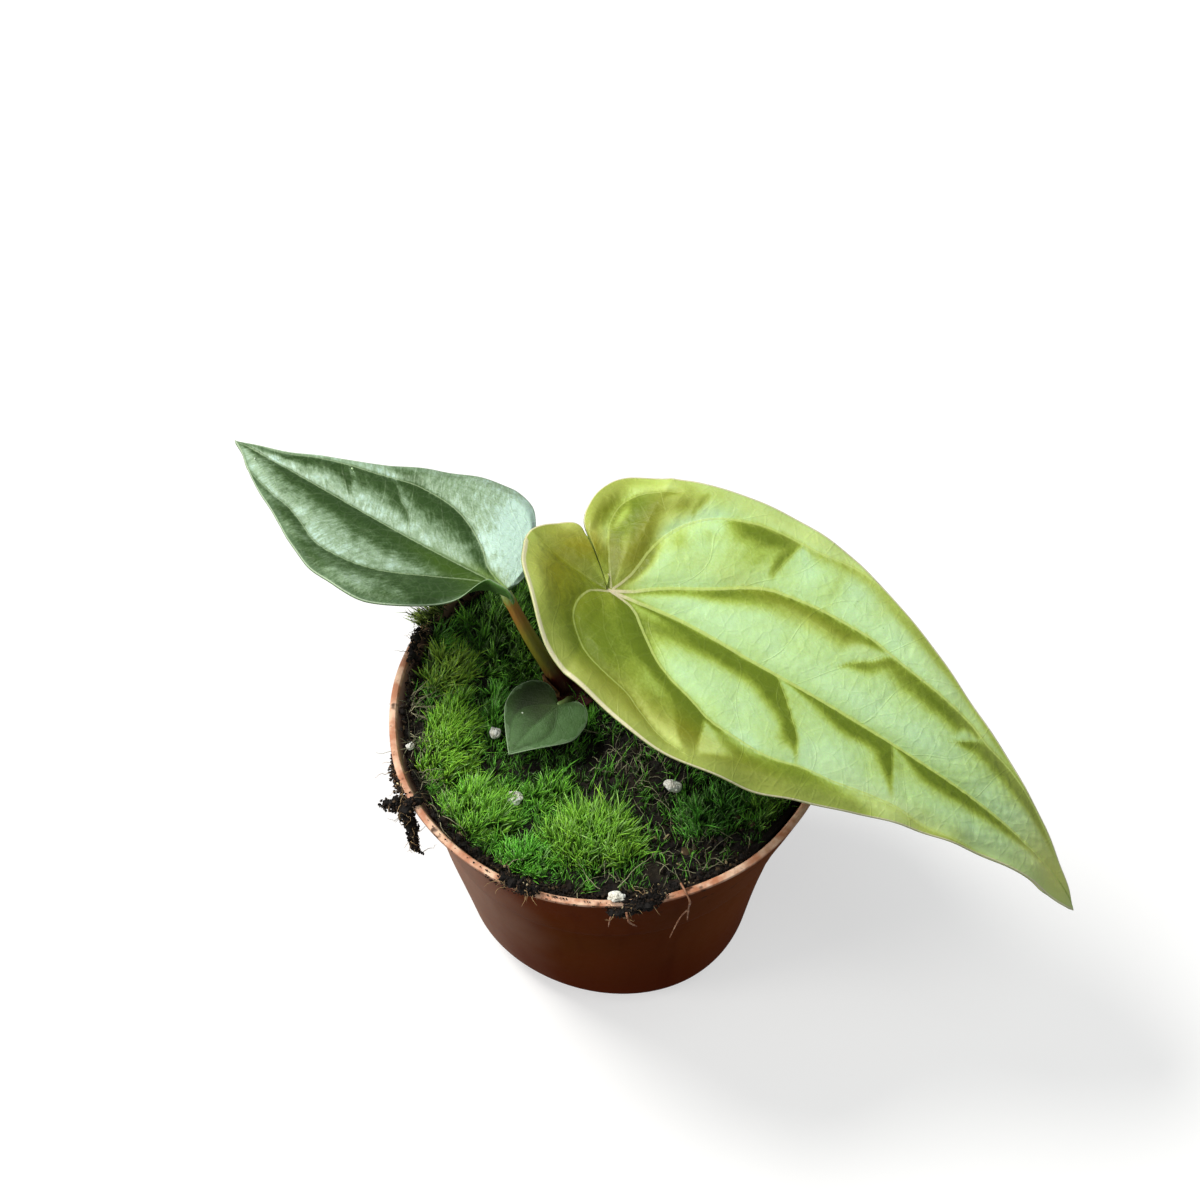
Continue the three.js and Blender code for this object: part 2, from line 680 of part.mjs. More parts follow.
// A low dome on the mix: rings run from its top down to its edge and back under it
function cushion({ x, y, rx, ry, turn, height }) {
  const rings = [];
  const ringAt = (share, lift) => {
    const ring = [];
    for (let i = 0; i < cushionPoints; i += 1) {
      const angle = 2 * Math.PI * i / cushionPoints;
      const swell = 1 + 0.07 * Math.sin(3 * angle + x) + 0.05 * Math.sin(5 * angle + y);
      const along = rx * share * swell * Math.cos(angle);
      const across = ry * share * swell * Math.sin(angle);
      const px = x + along * Math.cos(turn * degree) - across * Math.sin(turn * degree);
      const py = y + along * Math.sin(turn * degree) + across * Math.cos(turn * degree);
      ring.push(new THREE.Vector3(px, py, soilHeight(px, py) + seatGap + lift(px, py)));
    }
    return ring;
  };
  for (const share of cushionRings) {
    const dome = cushionEdge + (height - cushionEdge) * Math.sqrt(1 - share * share);
    rings.push(ringAt(share, (px, py) => dome * (1 + cushionRoughness * unevenness(px, py, 0))));
  }
  rings.push(ringAt(1, () => cushionEdge));
  for (const share of cushionUnderside) {
    rings.push(ringAt(share, () => 0));
  }
  return ringSolid(rings);
}
for (const [name, place] of Object.entries(mossCushions)) {
  addPiece(name, cushion(place), mossFinish);
}

// Perlite

// A grain: a ball of triangles pulled to its half sizes, with an uneven skin
function grain([width, depth, height], x, y, z) {
  const ball = new THREE.IcosahedronGeometry(1, 1);
  ball.deleteAttribute('normal');
  ball.deleteAttribute('uv');
  const merged = mergeVertices(ball, 1e-4);
  const place = merged.attributes.position;
  for (let i = 0; i < place.count; i += 1) {
    const point = new THREE.Vector3().fromBufferAttribute(place, i);
    const swell = 1 + grainRoughness * unevenness(2 * point.x + x, 2 * point.y + y, 2 * point.z);
    place.setXYZ(i, x + point.x * swell * width, y + point.y * swell * depth, z + point.z * swell * height);
  }
  return merged;
}
for (const [name, { x, y, size }] of Object.entries(perliteGrains)) {
  addPiece(name, grain(size, x, y, soilHeight(x, y) + seatGap + 1.1 * size[2]), perliteFinish);
}
addPiece('perlite_rim', grain(rimGrain.size, rimGrain.x, rimGrain.y, rimGrain.z), perliteFinish);

// Spilled mix on the rim, and root fibres

const keptClear = joined([toSolid(potShell(seatGap)), toSolid(mixBlock(seatGap))]);

function spill(lumps) {
  const solids = lumps.map((lump) => toSolid(limbSolid(lump, lumpSteps, lumpPoints, 1, 0, lumpRoughness)));
  return toGeometry(joined(solids).subtract(keptClear));
}
addPiece('spill_left', spill(leftSpill), pottingMixFinish);
addPiece('spill_upper_left', spill(upperLeftSpill), pottingMixFinish);
addPiece('spill_front_left', spill(frontLeftSpill), pottingMixFinish);
addPiece('spill_front', spill(frontSpill), pottingMixFinish);

function fibre(strands) {
  const solids = strands.map((strand) => toSolid(limbSolid(strand, fibreSteps, fibrePoints, fibreRadius)));
  return toGeometry(joined(solids));
}
addPiece('root_fibre_right', fibre(rightFibre), rootFinish);
addPiece('root_fibre_front', fibre(frontFibre), rootFinish);

export default plant;
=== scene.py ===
import math

import bpy
import numpy as np
from mathutils import Matrix, Vector


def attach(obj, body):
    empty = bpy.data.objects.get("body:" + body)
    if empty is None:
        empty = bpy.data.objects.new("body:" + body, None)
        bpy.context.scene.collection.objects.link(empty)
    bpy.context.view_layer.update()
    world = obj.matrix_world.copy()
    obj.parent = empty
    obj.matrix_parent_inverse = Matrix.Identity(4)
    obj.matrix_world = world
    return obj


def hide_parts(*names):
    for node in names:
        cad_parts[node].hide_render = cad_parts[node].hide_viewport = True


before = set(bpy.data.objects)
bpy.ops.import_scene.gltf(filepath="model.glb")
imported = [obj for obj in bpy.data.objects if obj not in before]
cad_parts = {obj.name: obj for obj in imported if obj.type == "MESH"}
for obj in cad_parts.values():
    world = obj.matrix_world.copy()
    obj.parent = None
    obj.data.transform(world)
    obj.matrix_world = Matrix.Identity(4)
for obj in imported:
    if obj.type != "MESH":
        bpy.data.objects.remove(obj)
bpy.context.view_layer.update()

mm = 0.001
scene = bpy.context.scene
print("frame loaded:", len(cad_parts), "nodes")


# Camera

# fitted to the rim, neck and foot of the pot: millimetres and degrees, and the clip distances in metres
cameraSettings = {
    "place": (0.0, -189.24, 334.43),
    "aim": (-1.592, 18.593, 46.0),
    "roll": 0.183,
    "lens": 76.25,
    "sensor": 36.0,
    "near": 0.01,
    "far": 20,
}


def makeCamera(values):
    # stands at its place, looks along aim - place and is turned by its roll about that line
    data = bpy.data.cameras.new("camera")
    data.lens = values["lens"]
    data.sensor_width = values["sensor"]
    data.clip_start = values["near"]
    data.clip_end = values["far"]
    camera = bpy.data.objects.new("camera", data)
    scene.collection.objects.link(camera)
    place = Vector(values["place"]) * mm
    look = Vector(values["aim"]) * mm - place
    turn = look.to_track_quat("-Z", "Y").to_matrix().to_4x4()
    roll = Matrix.Rotation(math.radians(values["roll"]), 4, "Z")
    camera.matrix_world = Matrix.Translation(place) @ turn @ roll
    scene.camera = camera


makeCamera(cameraSettings)
print("camera placed")


# Materials

def tint(code):
    # "#rrggbb" as linear colour: each channel c becomes ((c + 0.055) / 1.055) ** 2.4, or c / 12.92 near black
    channels = [int(code[i:i + 2], 16) / 255 for i in (1, 3, 5)]
    return tuple(c / 12.92 if c < 0.04045 else ((c + 0.055) / 1.055) ** 2.4 for c in channels) + (1.0,)


class Wire:
    # a socket of a material; + - * / and abs on it add Math nodes
    def __init__(self, paint, socket):
        self.paint = paint
        self.socket = socket

    def __add__(self, other):
        return self.paint.sum("ADD", self, other)

    def __sub__(self, other):
        return self.paint.sum("SUBTRACT", self, other)

    def __rsub__(self, other):
        return self.paint.sum("SUBTRACT", other, self)

    def __mul__(self, other):
        return self.paint.sum("MULTIPLY", self, other)

    def __truediv__(self, other):
        return self.paint.sum("DIVIDE", self, other)

    def __abs__(self):
        return self.paint.sum("ABSOLUTE", self)

    __radd__ = __add__
    __rmul__ = __mul__


class Paint:
    def __init__(self, name):
        self.material = bpy.data.materials.new(name)
        self.material.use_nodes = True
        self.tree = self.material.node_tree
        self.tree.nodes.clear()

    def node(self, kind, settings, sockets, out=0):
        # any node: its settings and ramp stops first, then the values or links of its sockets
        made = self.tree.nodes.new(kind)
        for key, value in settings.items():
            if key == "stops":
                ramp = made.color_ramp
                while len(ramp.elements) < len(value):
                    ramp.elements.new(0.5)
                for element, (position, colour) in zip(ramp.elements, value):
                    element.position = position
                    element.color = colour
            else:
                setattr(made, key, value)
        for key, value in sockets.items():
            if isinstance(value, Wire):
                self.tree.links.new(value.socket, made.inputs[key])
            else:
                made.inputs[key].default_value = value
        return Wire(self, made.outputs[out])

    def sum(self, operation, *values):
        return self.node("ShaderNodeMath", {"operation": operation}, dict(enumerate(values)))

    def mix(self, share, low, high, blend="MIX"):
        settings = {"data_type": "RGBA", "blend_type": blend, "clamp_factor": True}
        return self.node("ShaderNodeMix", settings, {0: share, 6: low, 7: high}, 2)

    def ramp(self, share, *stops):
        return self.node("ShaderNodeValToRGB", {"stops": stops}, {0: share})

    def step(self, value, low, high, toLow=0.0, toHigh=1.0):
        # smooth step from toLow at low to toHigh at high
        settings = {"interpolation_type": "SMOOTHSTEP"}
        return self.node("ShaderNodeMapRange", settings, {0: value, 1: low, 2: high, 3: toLow, 4: toHigh})

    def most(self, first, second):
        return self.sum("MAXIMUM", first, second)

    def attribute(self, name, out="Fac"):
        return self.node("ShaderNodeAttribute", {"attribute_name": name}, {}, out)

    def place(self):
        return self.node("ShaderNodeTexCoord", {}, {}, "Object")

    def scaled(self, vector, factors):
        return self.node("ShaderNodeVectorMath", {"operation": "MULTIPLY"}, {0: vector, 1: factors})

    def noise(self, vector, scale, detail=3.0, roughness=0.5, out="Fac"):
        sockets = {"Vector": vector, "Scale": scale, "Detail": detail, "Roughness": roughness}
        return self.node("ShaderNodeTexNoise", {}, sockets, out)

    def cells(self, vector, scale, feature="F1", out="Distance"):
        sockets = {"Vector": vector, "Scale": scale}
        return self.node("ShaderNodeTexVoronoi", {"feature": feature}, sockets, out)

    def bump(self, height, strength, distance):
        sockets = {"Height": height, "Strength": strength, "Distance": distance}
        return self.node("ShaderNodeBump", {}, sockets)

    def finish(self, sockets):
        shader = self.node("ShaderNodeBsdfPrincipled", {}, sockets)
        output = self.tree.nodes.new("ShaderNodeOutputMaterial")
        self.tree.links.new(shader.socket, output.inputs["Surface"])
        return self.material


# Meshes

planUnit = 100  # millimetres of a leaf to one unit of its UV map


def makeMesh(name, points, faceSets, values=None, plan=None, smooth=True):
    # points in millimetres; face sets are index arrays of 3 or 4 columns; values become point attributes
    # and plan, two columns in millimetres, the UV map
    mesh = bpy.data.meshes.new(name)
    corners = np.concatenate([faces.ravel() for faces in faceSets]).astype(np.int32)
    sizes = np.concatenate([np.full(len(faces), faces.shape[1]) for faces in faceSets])
    starts = (np.cumsum(sizes) - sizes).astype(np.int32)
    mesh.vertices.add(len(points))
    mesh.vertices.foreach_set("co", (points * mm).astype(np.float32).ravel())
    mesh.loops.add(len(corners))
    mesh.loops.foreach_set("vertex_index", corners)
    mesh.polygons.add(len(sizes))
    mesh.polygons.foreach_set("loop_start", starts)
    mesh.polygons.foreach_set("use_smooth", np.full(len(sizes), smooth))
    mesh.update(calc_edges=True)
    for key, column in (values or {}).items():
        column = np.asarray(column, dtype=np.float32)
        if column.ndim == 2:
            rgba = np.column_stack([column, np.ones(len(column), np.float32)])
            mesh.attributes.new(key, "FLOAT_COLOR", "POINT").data.foreach_set("color", rgba.ravel())
        else:
            mesh.attributes.new(key, "FLOAT", "POINT").data.foreach_set("value", column)
    if plan is not None:
        flat = (plan[corners] / planUnit).astype(np.float32)
        mesh.uv_layers.new(name="plan").data.foreach_set("uv", flat.ravel())
    return mesh


def addPiece(name, mesh, material, slotName, *nodes):
    # everything rides on the one body; the nodes are the CAD parts that the piece stands in for
    piece = bpy.data.objects.new(name, mesh)
    scene.collection.objects.link(piece)
    mesh.materials.append(material)
    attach(piece, "root")
    if nodes:
        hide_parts(*nodes)
    print(name, len(mesh.polygons), "faces")


def volumeOf(points, faces):
    # six times the volume inside triangles a b c: the sum of a . (b x c)
    a, b, c = (points[faces[:, k]] for k in range(3))
    return np.einsum("ij,ij->i", a, np.cross(b, c)).sum()


def outward(points, faceSets):
    # turns every face over where the volume they enclose comes out negative
    total = 0
    for faces in faceSets:
        total += volumeOf(points, faces[:, :3])
        if faces.shape[1] == 4:
            total += volumeOf(points, faces[:, [0, 2, 3]])
    return faceSets if total > 0 else [faces[:, ::-1] for faces in faceSets]


def gridFaces(rows, columns, closed=False, first=0):
    # quads between neighbouring points of a grid that is stored row by row
    i = np.arange(rows - 1)[:, None]
    j = np.arange(columns if closed else columns - 1)[None, :]
    after = (j + 1) % columns
    a = i * columns + j
    b = i * columns + after
    return np.stack([a, b, b + columns, a + columns], -1).reshape(-1, 4) + first


def ringTube(rings):
    # rings, an array of (ring, point, 3), skinned as a closed body with a middle point at each end
    count, around = rings.shape[:2]
    points = np.vstack([rings.reshape(-1, 3), rings[0].mean(0), rings[-1].mean(0)])
    j = np.arange(around)
    after = (j + 1) % around
    last = (count - 1) * around
    lids = np.vstack([
        np.column_stack([after, j, np.full(around, count * around)]),
        np.column_stack([last + j, last + after, np.full(around, count * around + 1)]),
    ])
    return points, outward(points, [gridFaces(count, around, True), lids])


def joined(bodies):
    # several closed bodies, each a pair of points and face sets, as one pair
    pointSets, faceSets, first = [], [], 0
    for points, faces in bodies:
        pointSets.append(points)
        faceSets += [part + first for part in faces]
        first += len(points)
    return np.vstack(pointSets), faceSets


def splineAt(knots, share, byLength=True):
    # Catmull-Rom curve through the knots, at shares of its length or of its number of knots: between b and c
    # it is the cubic that leaves b along (c - a) / 2 and reaches c along (d - b) / 2
    knots = np.array(knots, float)
    ends = np.vstack([knots[:1], knots, knots[-1:]])
    stepsPerKnot = 40
    t = np.linspace(0, 1, stepsPerKnot, endpoint=False)[:, None]
    pieces = []
    for i in range(len(knots) - 1):
        a, b, c, d = ends[i:i + 4]
        first, second = (c - a) / 2, (d - b) / 2
        cubic = 2 * b - 2 * c + first + second
        square = 3 * c - 3 * b - 2 * first - second
        pieces.append(cubic * t ** 3 + square * t ** 2 + first * t + b)
    line = np.vstack(pieces + [knots[-1:]])
    if byLength:
        along = np.concatenate([[0], np.cumsum(np.linalg.norm(np.diff(line, axis=0), axis=1))])
    else:
        along = np.arange(len(line), dtype=float)
    place = np.asarray(share) * along[-1]
    return np.column_stack([np.interp(place, along, line[:, k]) for k in range(line.shape[1])])


def ripple(points, size, seed, count=20):
    # smooth noise of unit spread: the sum of plane waves about size long, in turned directions
    draw = np.random.default_rng(seed)
    waves = draw.normal(size=(count, points.shape[-1]))
    turns = 2 * np.pi / size * draw.uniform(0.6, 1.5, (count, 1))
    waves *= turns / np.linalg.norm(waves, axis=1, keepdims=True)
    phase = draw.uniform(0, 2 * np.pi, count)
    return math.sqrt(2 / count) * np.sin(points @ waves.T + phase).sum(-1)


def smoothStep(value, low, high):
    # 0 up to low, 1 from high on, and t t (3 - 2 t) between them
    t = np.clip((value - low) / (high - low), 0, 1)
    return t * t * (3 - 2 * t)


# Leaves

# what the three leaves share
blades = {
    "spineSteps": 300, "pathSteps": 56, "farAway": 40.0, "skinTaper": 0.5, "fan": 0.02,
    # side veins: wobble, its length, shift of the right half, how they bow
    "sideWobble": 0.14, "wobbleSize": 16, "rightShift": 0.37, "sideBow": 0.85,
    "sideCalm": (0.2, 2.5), "grooveWidth": 0.8, "leastWeight": 0.01, "veinTaper": 0.7,
    # the edge's waves: length, how far in they reach
    "waveSize": 11, "waveReach": 5,
    # ribs below: how much the midrib loses, height and sharpness of the others
    "midribLoss": 0.75, "ribShare": 0.3, "ribSharpness": 0.7,
    "mapShift": 50,
}


def spineAngles(leaf, u):
    # heading, pitch and roll of the midrib: straight lines in u, with a droop that grows as u ** 4
    out = np.clip(u, 0, None) / leaf["length"]
    back = np.clip(-u, 0, None) / leaf["lobeReach"]
    heading = leaf["heading"] + leaf["headingTurn"] * out - leaf["lobeTurn"] * back
    pitch = leaf["pitch"] + leaf["pitchTurn"] * out + leaf["tipDroop"] * out ** 4 - leaf["lobeRise"] * back
    roll = leaf["roll"] + leaf["rollTurn"] * out + leaf["lobeRoll"] * back
    return np.radians(heading), np.radians(pitch), np.radians(roll)


def directionOf(heading, pitch):
    # the unit vector (cos pitch cos heading, cos pitch sin heading, sin pitch)
    return np.stack([np.cos(pitch) * np.cos(heading), np.cos(pitch) * np.sin(heading), np.sin(pitch)], -1)


def spinePlaces(leaf):
    # the midrib's places: the sum of small steps along its direction, both ways from the petiole
    halves = []
    for reach in (-leaf["lobeReach"], leaf["length"] + 1):
        u = np.linspace(0, reach, blades["spineSteps"])
        heading, pitch, _ = spineAngles(leaf, (u[1:] + u[:-1]) / 2)
        steps = directionOf(heading, pitch) * np.diff(u)[:, None]
        halves.append((u, np.vstack([np.zeros(3), np.cumsum(steps, 0)]) + leaf["attach"]))
    (backU, back), (outU, out) = halves
    return np.concatenate([backU[::-1], outU[1:]]), np.vstack([back[::-1], out[1:]])


def leafPoints(leaf, u, v, lift):
    # the midrib's place, plus an arc of the half's bend across, turned up by its fold, plus lift along the
    # blade's normal
    alongU, along = spinePlaces(leaf)
    place = np.stack([np.interp(u, alongU, along[:, k]) for k in range(3)], -1)
    heading, pitch, roll = spineAngles(leaf, u)
    level = np.stack([-np.sin(heading), np.cos(heading), np.zeros_like(heading)], -1)
    upright = np.cross(directionOf(heading, pitch), level)
    cosRoll, sinRoll = np.cos(roll)[..., None], np.sin(roll)[..., None]
    sideways = level * cosRoll + upright * sinRoll
    up = upright * cosRoll - level * sinRoll
    outShare = np.clip(u, 0, None) / leaf["length"]
    bends = []
    for half in (leaf["left"], leaf["right"]):
        reach = np.clip(u, 0, None) / half["curlReach"]
        bends.append(half["bend"] + half["bendTurn"] * outShare + half["curl"] * np.exp(-reach ** 2))
    bend = np.where(v >= 0, *bends)
    bend = np.where(np.abs(bend) < 1e-6, 1e-6, bend)
    fold = np.radians(np.where(v >= 0, leaf["left"]["fold"], leaf["right"]["fold"]))
    distance = np.abs(v)
    arcOut = np.sin(bend * distance) / bend
    arcUp = (np.cos(bend * distance) - 1) / bend
    out = arcOut * np.cos(fold) - arcUp * np.sin(fold)
    rise = arcOut * np.sin(fold) + arcUp * np.cos(fold)
    slope = np.where(distance > 0, fold - bend * distance, 0)
    across = np.sign(v) * (out - lift * np.sin(slope))
    return place + sideways * across[..., None] + up * (rise + lift * np.cos(slope))[..., None]


def distanceTo(path, u, v):
    # distance of every point from a polyline, positive on its left, and the share of it that is nearest
    line = splineAt(path, np.linspace(0, 1, blades["pathSteps"]))
    start, step = line[:-1], np.diff(line, axis=0)
    du = u[:, None] - start[:, 0]
    dv = v[:, None] - start[:, 1]
    lengths = (step ** 2).sum(1)
    t = np.clip((du * step[:, 0] + dv * step[:, 1]) / lengths, 0, 1)
    away = np.hypot(du - t * step[:, 0], dv - t * step[:, 1])
    nearest = away.argmin(1)
    rows = np.arange(len(u))
    side = np.sign(step[nearest, 0] * dv[rows, nearest] - step[nearest, 1] * du[rows, nearest])
    return away[rows, nearest] * np.where(side == 0, 1, side), (nearest + t[rows, nearest]) / len(step)


def sideVeins(leaf, u, v):
    # counts the side veins: one lies at each whole number of (u - lean |v| ** bow) / spacing + wobble
    wobble = blades["sideWobble"] * ripple(np.column_stack([u, v]), blades["wobbleSize"], leaf["seed"])
    shift = np.where(v >= 0, 0.0, blades["rightShift"])
    bow = leaf["sideLean"] * np.abs(v) ** blades["sideBow"]
    return (u - bow) / leaf["sideSpacing"] + wobble + shift


def panelPlace(leaf, u, v, crossings):
    # distances from the nearest vein on the pale side of each panel, where the tone paints sheen, and on its
    # dark side, where it paints shade; a crossing vein counts only beside itself, and further and further
    # away where it fades out inside a panel
    left = np.full(len(u), blades["farAway"])
    right = np.full(len(u), blades["farAway"])
    for vein in leaf["veins"].values():
        if vein.get("crosses") and not crossings:
            continue
        away, share = distanceTo(vein["path"], u, v)
        weight = np.ones(len(u))
        foot, tip = vein.get("fade", (0, 0))
        if foot:
            weight *= smoothStep(share, 0, foot)
        if tip:
            weight *= 1 - smoothStep(share, 1 - tip, 1)
        if vein.get("crosses"):
            weight *= ((share > 0.005) & (share < 0.995)) * vein["crosses"]
        away = away / np.maximum(weight, blades["leastWeight"])
        left = np.where(away > 0, np.minimum(left, away), left)
        right = np.where(away <= 0, np.minimum(right, -away), right)
    return (left, right) if leaf["sheenSide"] == "left" else (right, left)


def panelRelief(leaf, u, v, pale, dark):
    # each panel swells between its two main veins as swell a b / (a + b), a and b its distances from them,
    # and between side veins as p (1 - p), p the share of the way from one to the next; a groove
    # exp(-(distance / width)^2) follows each main vein
    main = leaf["swell"] * pale * dark / (pale + dark)
    part = sideVeins(leaf, u, v) % 1
    side = leaf["sideSwell"] * leaf["sideSpacing"] * part * (1 - part)
    side *= smoothStep(np.minimum(pale, dark), *blades["sideCalm"])
    fine = leaf["pucker"] * ripple(np.column_stack([u, v]), leaf["puckerSize"], leaf["seed"] + 9, 40)
    limit = leaf["swellLimit"]
    groove = leaf["groove"] * np.exp(-(np.minimum(pale, dark) / blades["grooveWidth"]) ** 2)
    return limit * np.tanh((main + side) / limit) + fine - groove


def patchSum(patches, u, v):
    # soft round patches: amount exp(-(du / reach)^2 - (dv / reach)^2)
    total = np.zeros(len(u))
    for patchU, patchV, reachU, reachV, amount in patches:
        total += amount * np.exp(-((u - patchU) / reachU) ** 2 - ((v - patchV) / reachV) ** 2)
    return total


def panelSheenShade(leaf, u, v):
    # painted sheen and shade: a smooth step of dark / (pale + dark), 0 at a panel's dark side, painted shade,
    # and 1 at its pale one, painted sheen, over the leaf's own colour, averaged over the middle and corners
    # of a small square, then paler or darker in the leaf's own patches of painted sheen and shade
    low, high = leaf["sheenShadeSteps"]
    places = ((0, 0), (1, 1), (1, -1), (-1, 1), (-1, -1))
    total = 0
    for stepU, stepV in places:
        pale, dark = panelPlace(leaf, u + leaf["soften"] * stepU, v + leaf["soften"] * stepV, True)
        total = total + smoothStep(dark / (pale + dark), low, high) / len(places)
    return total + patchSum(leaf["patches"], u, v)


def bladeGrid(leaf):
    # rows run from the left edge across the midrib to the right edge, each point a share of the way from the
    # midrib to its edge, and fan out from the stalk in the lobes
    share = np.linspace(0, 1, leaf["rows"])
    cross = np.linspace(-1, 1, 2 * leaf["across"] + 1)
    beyond = np.clip(share - leaf["lobeShare"], 0, None) / (1 - leaf["lobeShare"])
    middle = blades["fan"] * leaf["length"] * (np.minimum(1, share / leaf["lobeShare"]) - 0.5)
    spine = middle + (leaf["length"] - middle) * beyond
    left = splineAt(leaf["leftEdge"], share)
    right = splineAt(leaf["rightEdge"], share)
    edge = np.where(cross[None, :, None] < 0, left[:, None], right[:, None])
    reach = np.abs(cross)[None, :]
    u = spine[:, None] + (edge[..., 0] - spine[:, None]) * reach
    v = edge[..., 1] * reach
    width = np.hypot(edge[..., 0] - spine[:, None], edge[..., 1])
    return u, v, width * (1 - reach), reach + 0 * u


def makeBlade(name, leaf, material, slotName, node):
    # two skins on the blade's grid, at relief + wave and half the thickness above or below it, the lower one
    # with ribs exp(-distance^2) that stand out, and a seam between them along each edge of the grid
    u, v, inside, reach = bladeGrid(leaf)
    rows, columns = u.shape
    flatU, flatV = u.ravel(), v.ravel()
    margin = inside.ravel()
    values = {}
    for key, vein in leaf["veins"].items():
        away, share = distanceTo(vein["path"], flatU, flatV)
        width = vein["width"] * (1 - vein.get("taper", blades["veinTaper"]) * share)
        values[key] = away / width
    values["side"] = sideVeins(leaf, flatU, flatV)
    values["across"] = flatV
    calm = smoothStep(margin, 0, leaf["marginCalm"])
    relief = panelRelief(leaf, flatU, flatV, *panelPlace(leaf, flatU, flatV, False)) * calm
    values["tone"] = panelSheenShade(leaf, flatU, flatV)
    values["fresh"] = np.clip(patchSum(leaf["fresh"], flatU, flatV), 0, 1)
    values["margin"] = margin
    values["near"] = np.exp(-(flatU ** 2 + flatV ** 2) / leaf["baseReach"] ** 2)
    # the rim widens the painted highlight along the large leaf's front lobe edge
    values["rim"] = np.where(flatV < 0, 1 - smoothStep(flatU, *leaf["rimHighlightReach"]), 0)
    wave = leaf["edgeWave"] * ripple(np.column_stack([flatU, flatV]), blades["waveSize"], leaf["seed"] + 5)
    lift = relief + wave * (1 - smoothStep(margin, 0, blades["waveReach"]))
    thickness = leaf["thickness"] * (1 - blades["skinTaper"] * reach.ravel() ** 2) / 2
    beyond = 1 - blades["midribLoss"] * flatU / leaf["length"]
    fading = np.where(flatU > 0, beyond, np.exp(np.minimum(flatU, 0)))
    ridge = leaf["ribDepth"] * np.exp(-flatV ** 2) * fading
    for key in leaf["raised"]:
        ridge = np.maximum(ridge, blades["ribShare"] * np.exp(-(values[key] * blades["ribSharpness"]) ** 2))
    upper = leafPoints(leaf, flatU, flatV, lift + thickness)
    lower = leafPoints(leaf, flatU, flatV, lift - thickness - ridge)
    count = rows * columns
    points = np.vstack([upper, lower])
    top = gridFaces(rows, columns)
    under = gridFaces(rows, columns, first=count)[:, ::-1]
    i = np.arange(rows - 1) * columns
    j = np.arange(columns - 1)
    last = (rows - 1) * columns
    edges = (
        (i + columns, i), (i + columns - 1, i + 2 * columns - 1),
        (j, j + 1), (last + j + 1, last + j),
    )
    seams = [np.column_stack([b, a, a + count, b + count]) for a, b in edges]
    faceSets = outward(points, [np.vstack([top, under] + seams)])
    values = {key: np.concatenate([column, column]) for key, column in values.items()}
    values["under"] = np.repeat([0.0, 1.0], count)
    plan = np.tile(np.column_stack([flatU, flatV + blades["mapShift"]]), (2, 1))
    mesh = makeMesh(name, points, faceSets, values, plan)
    addPiece(name, mesh, material, slotName, node)


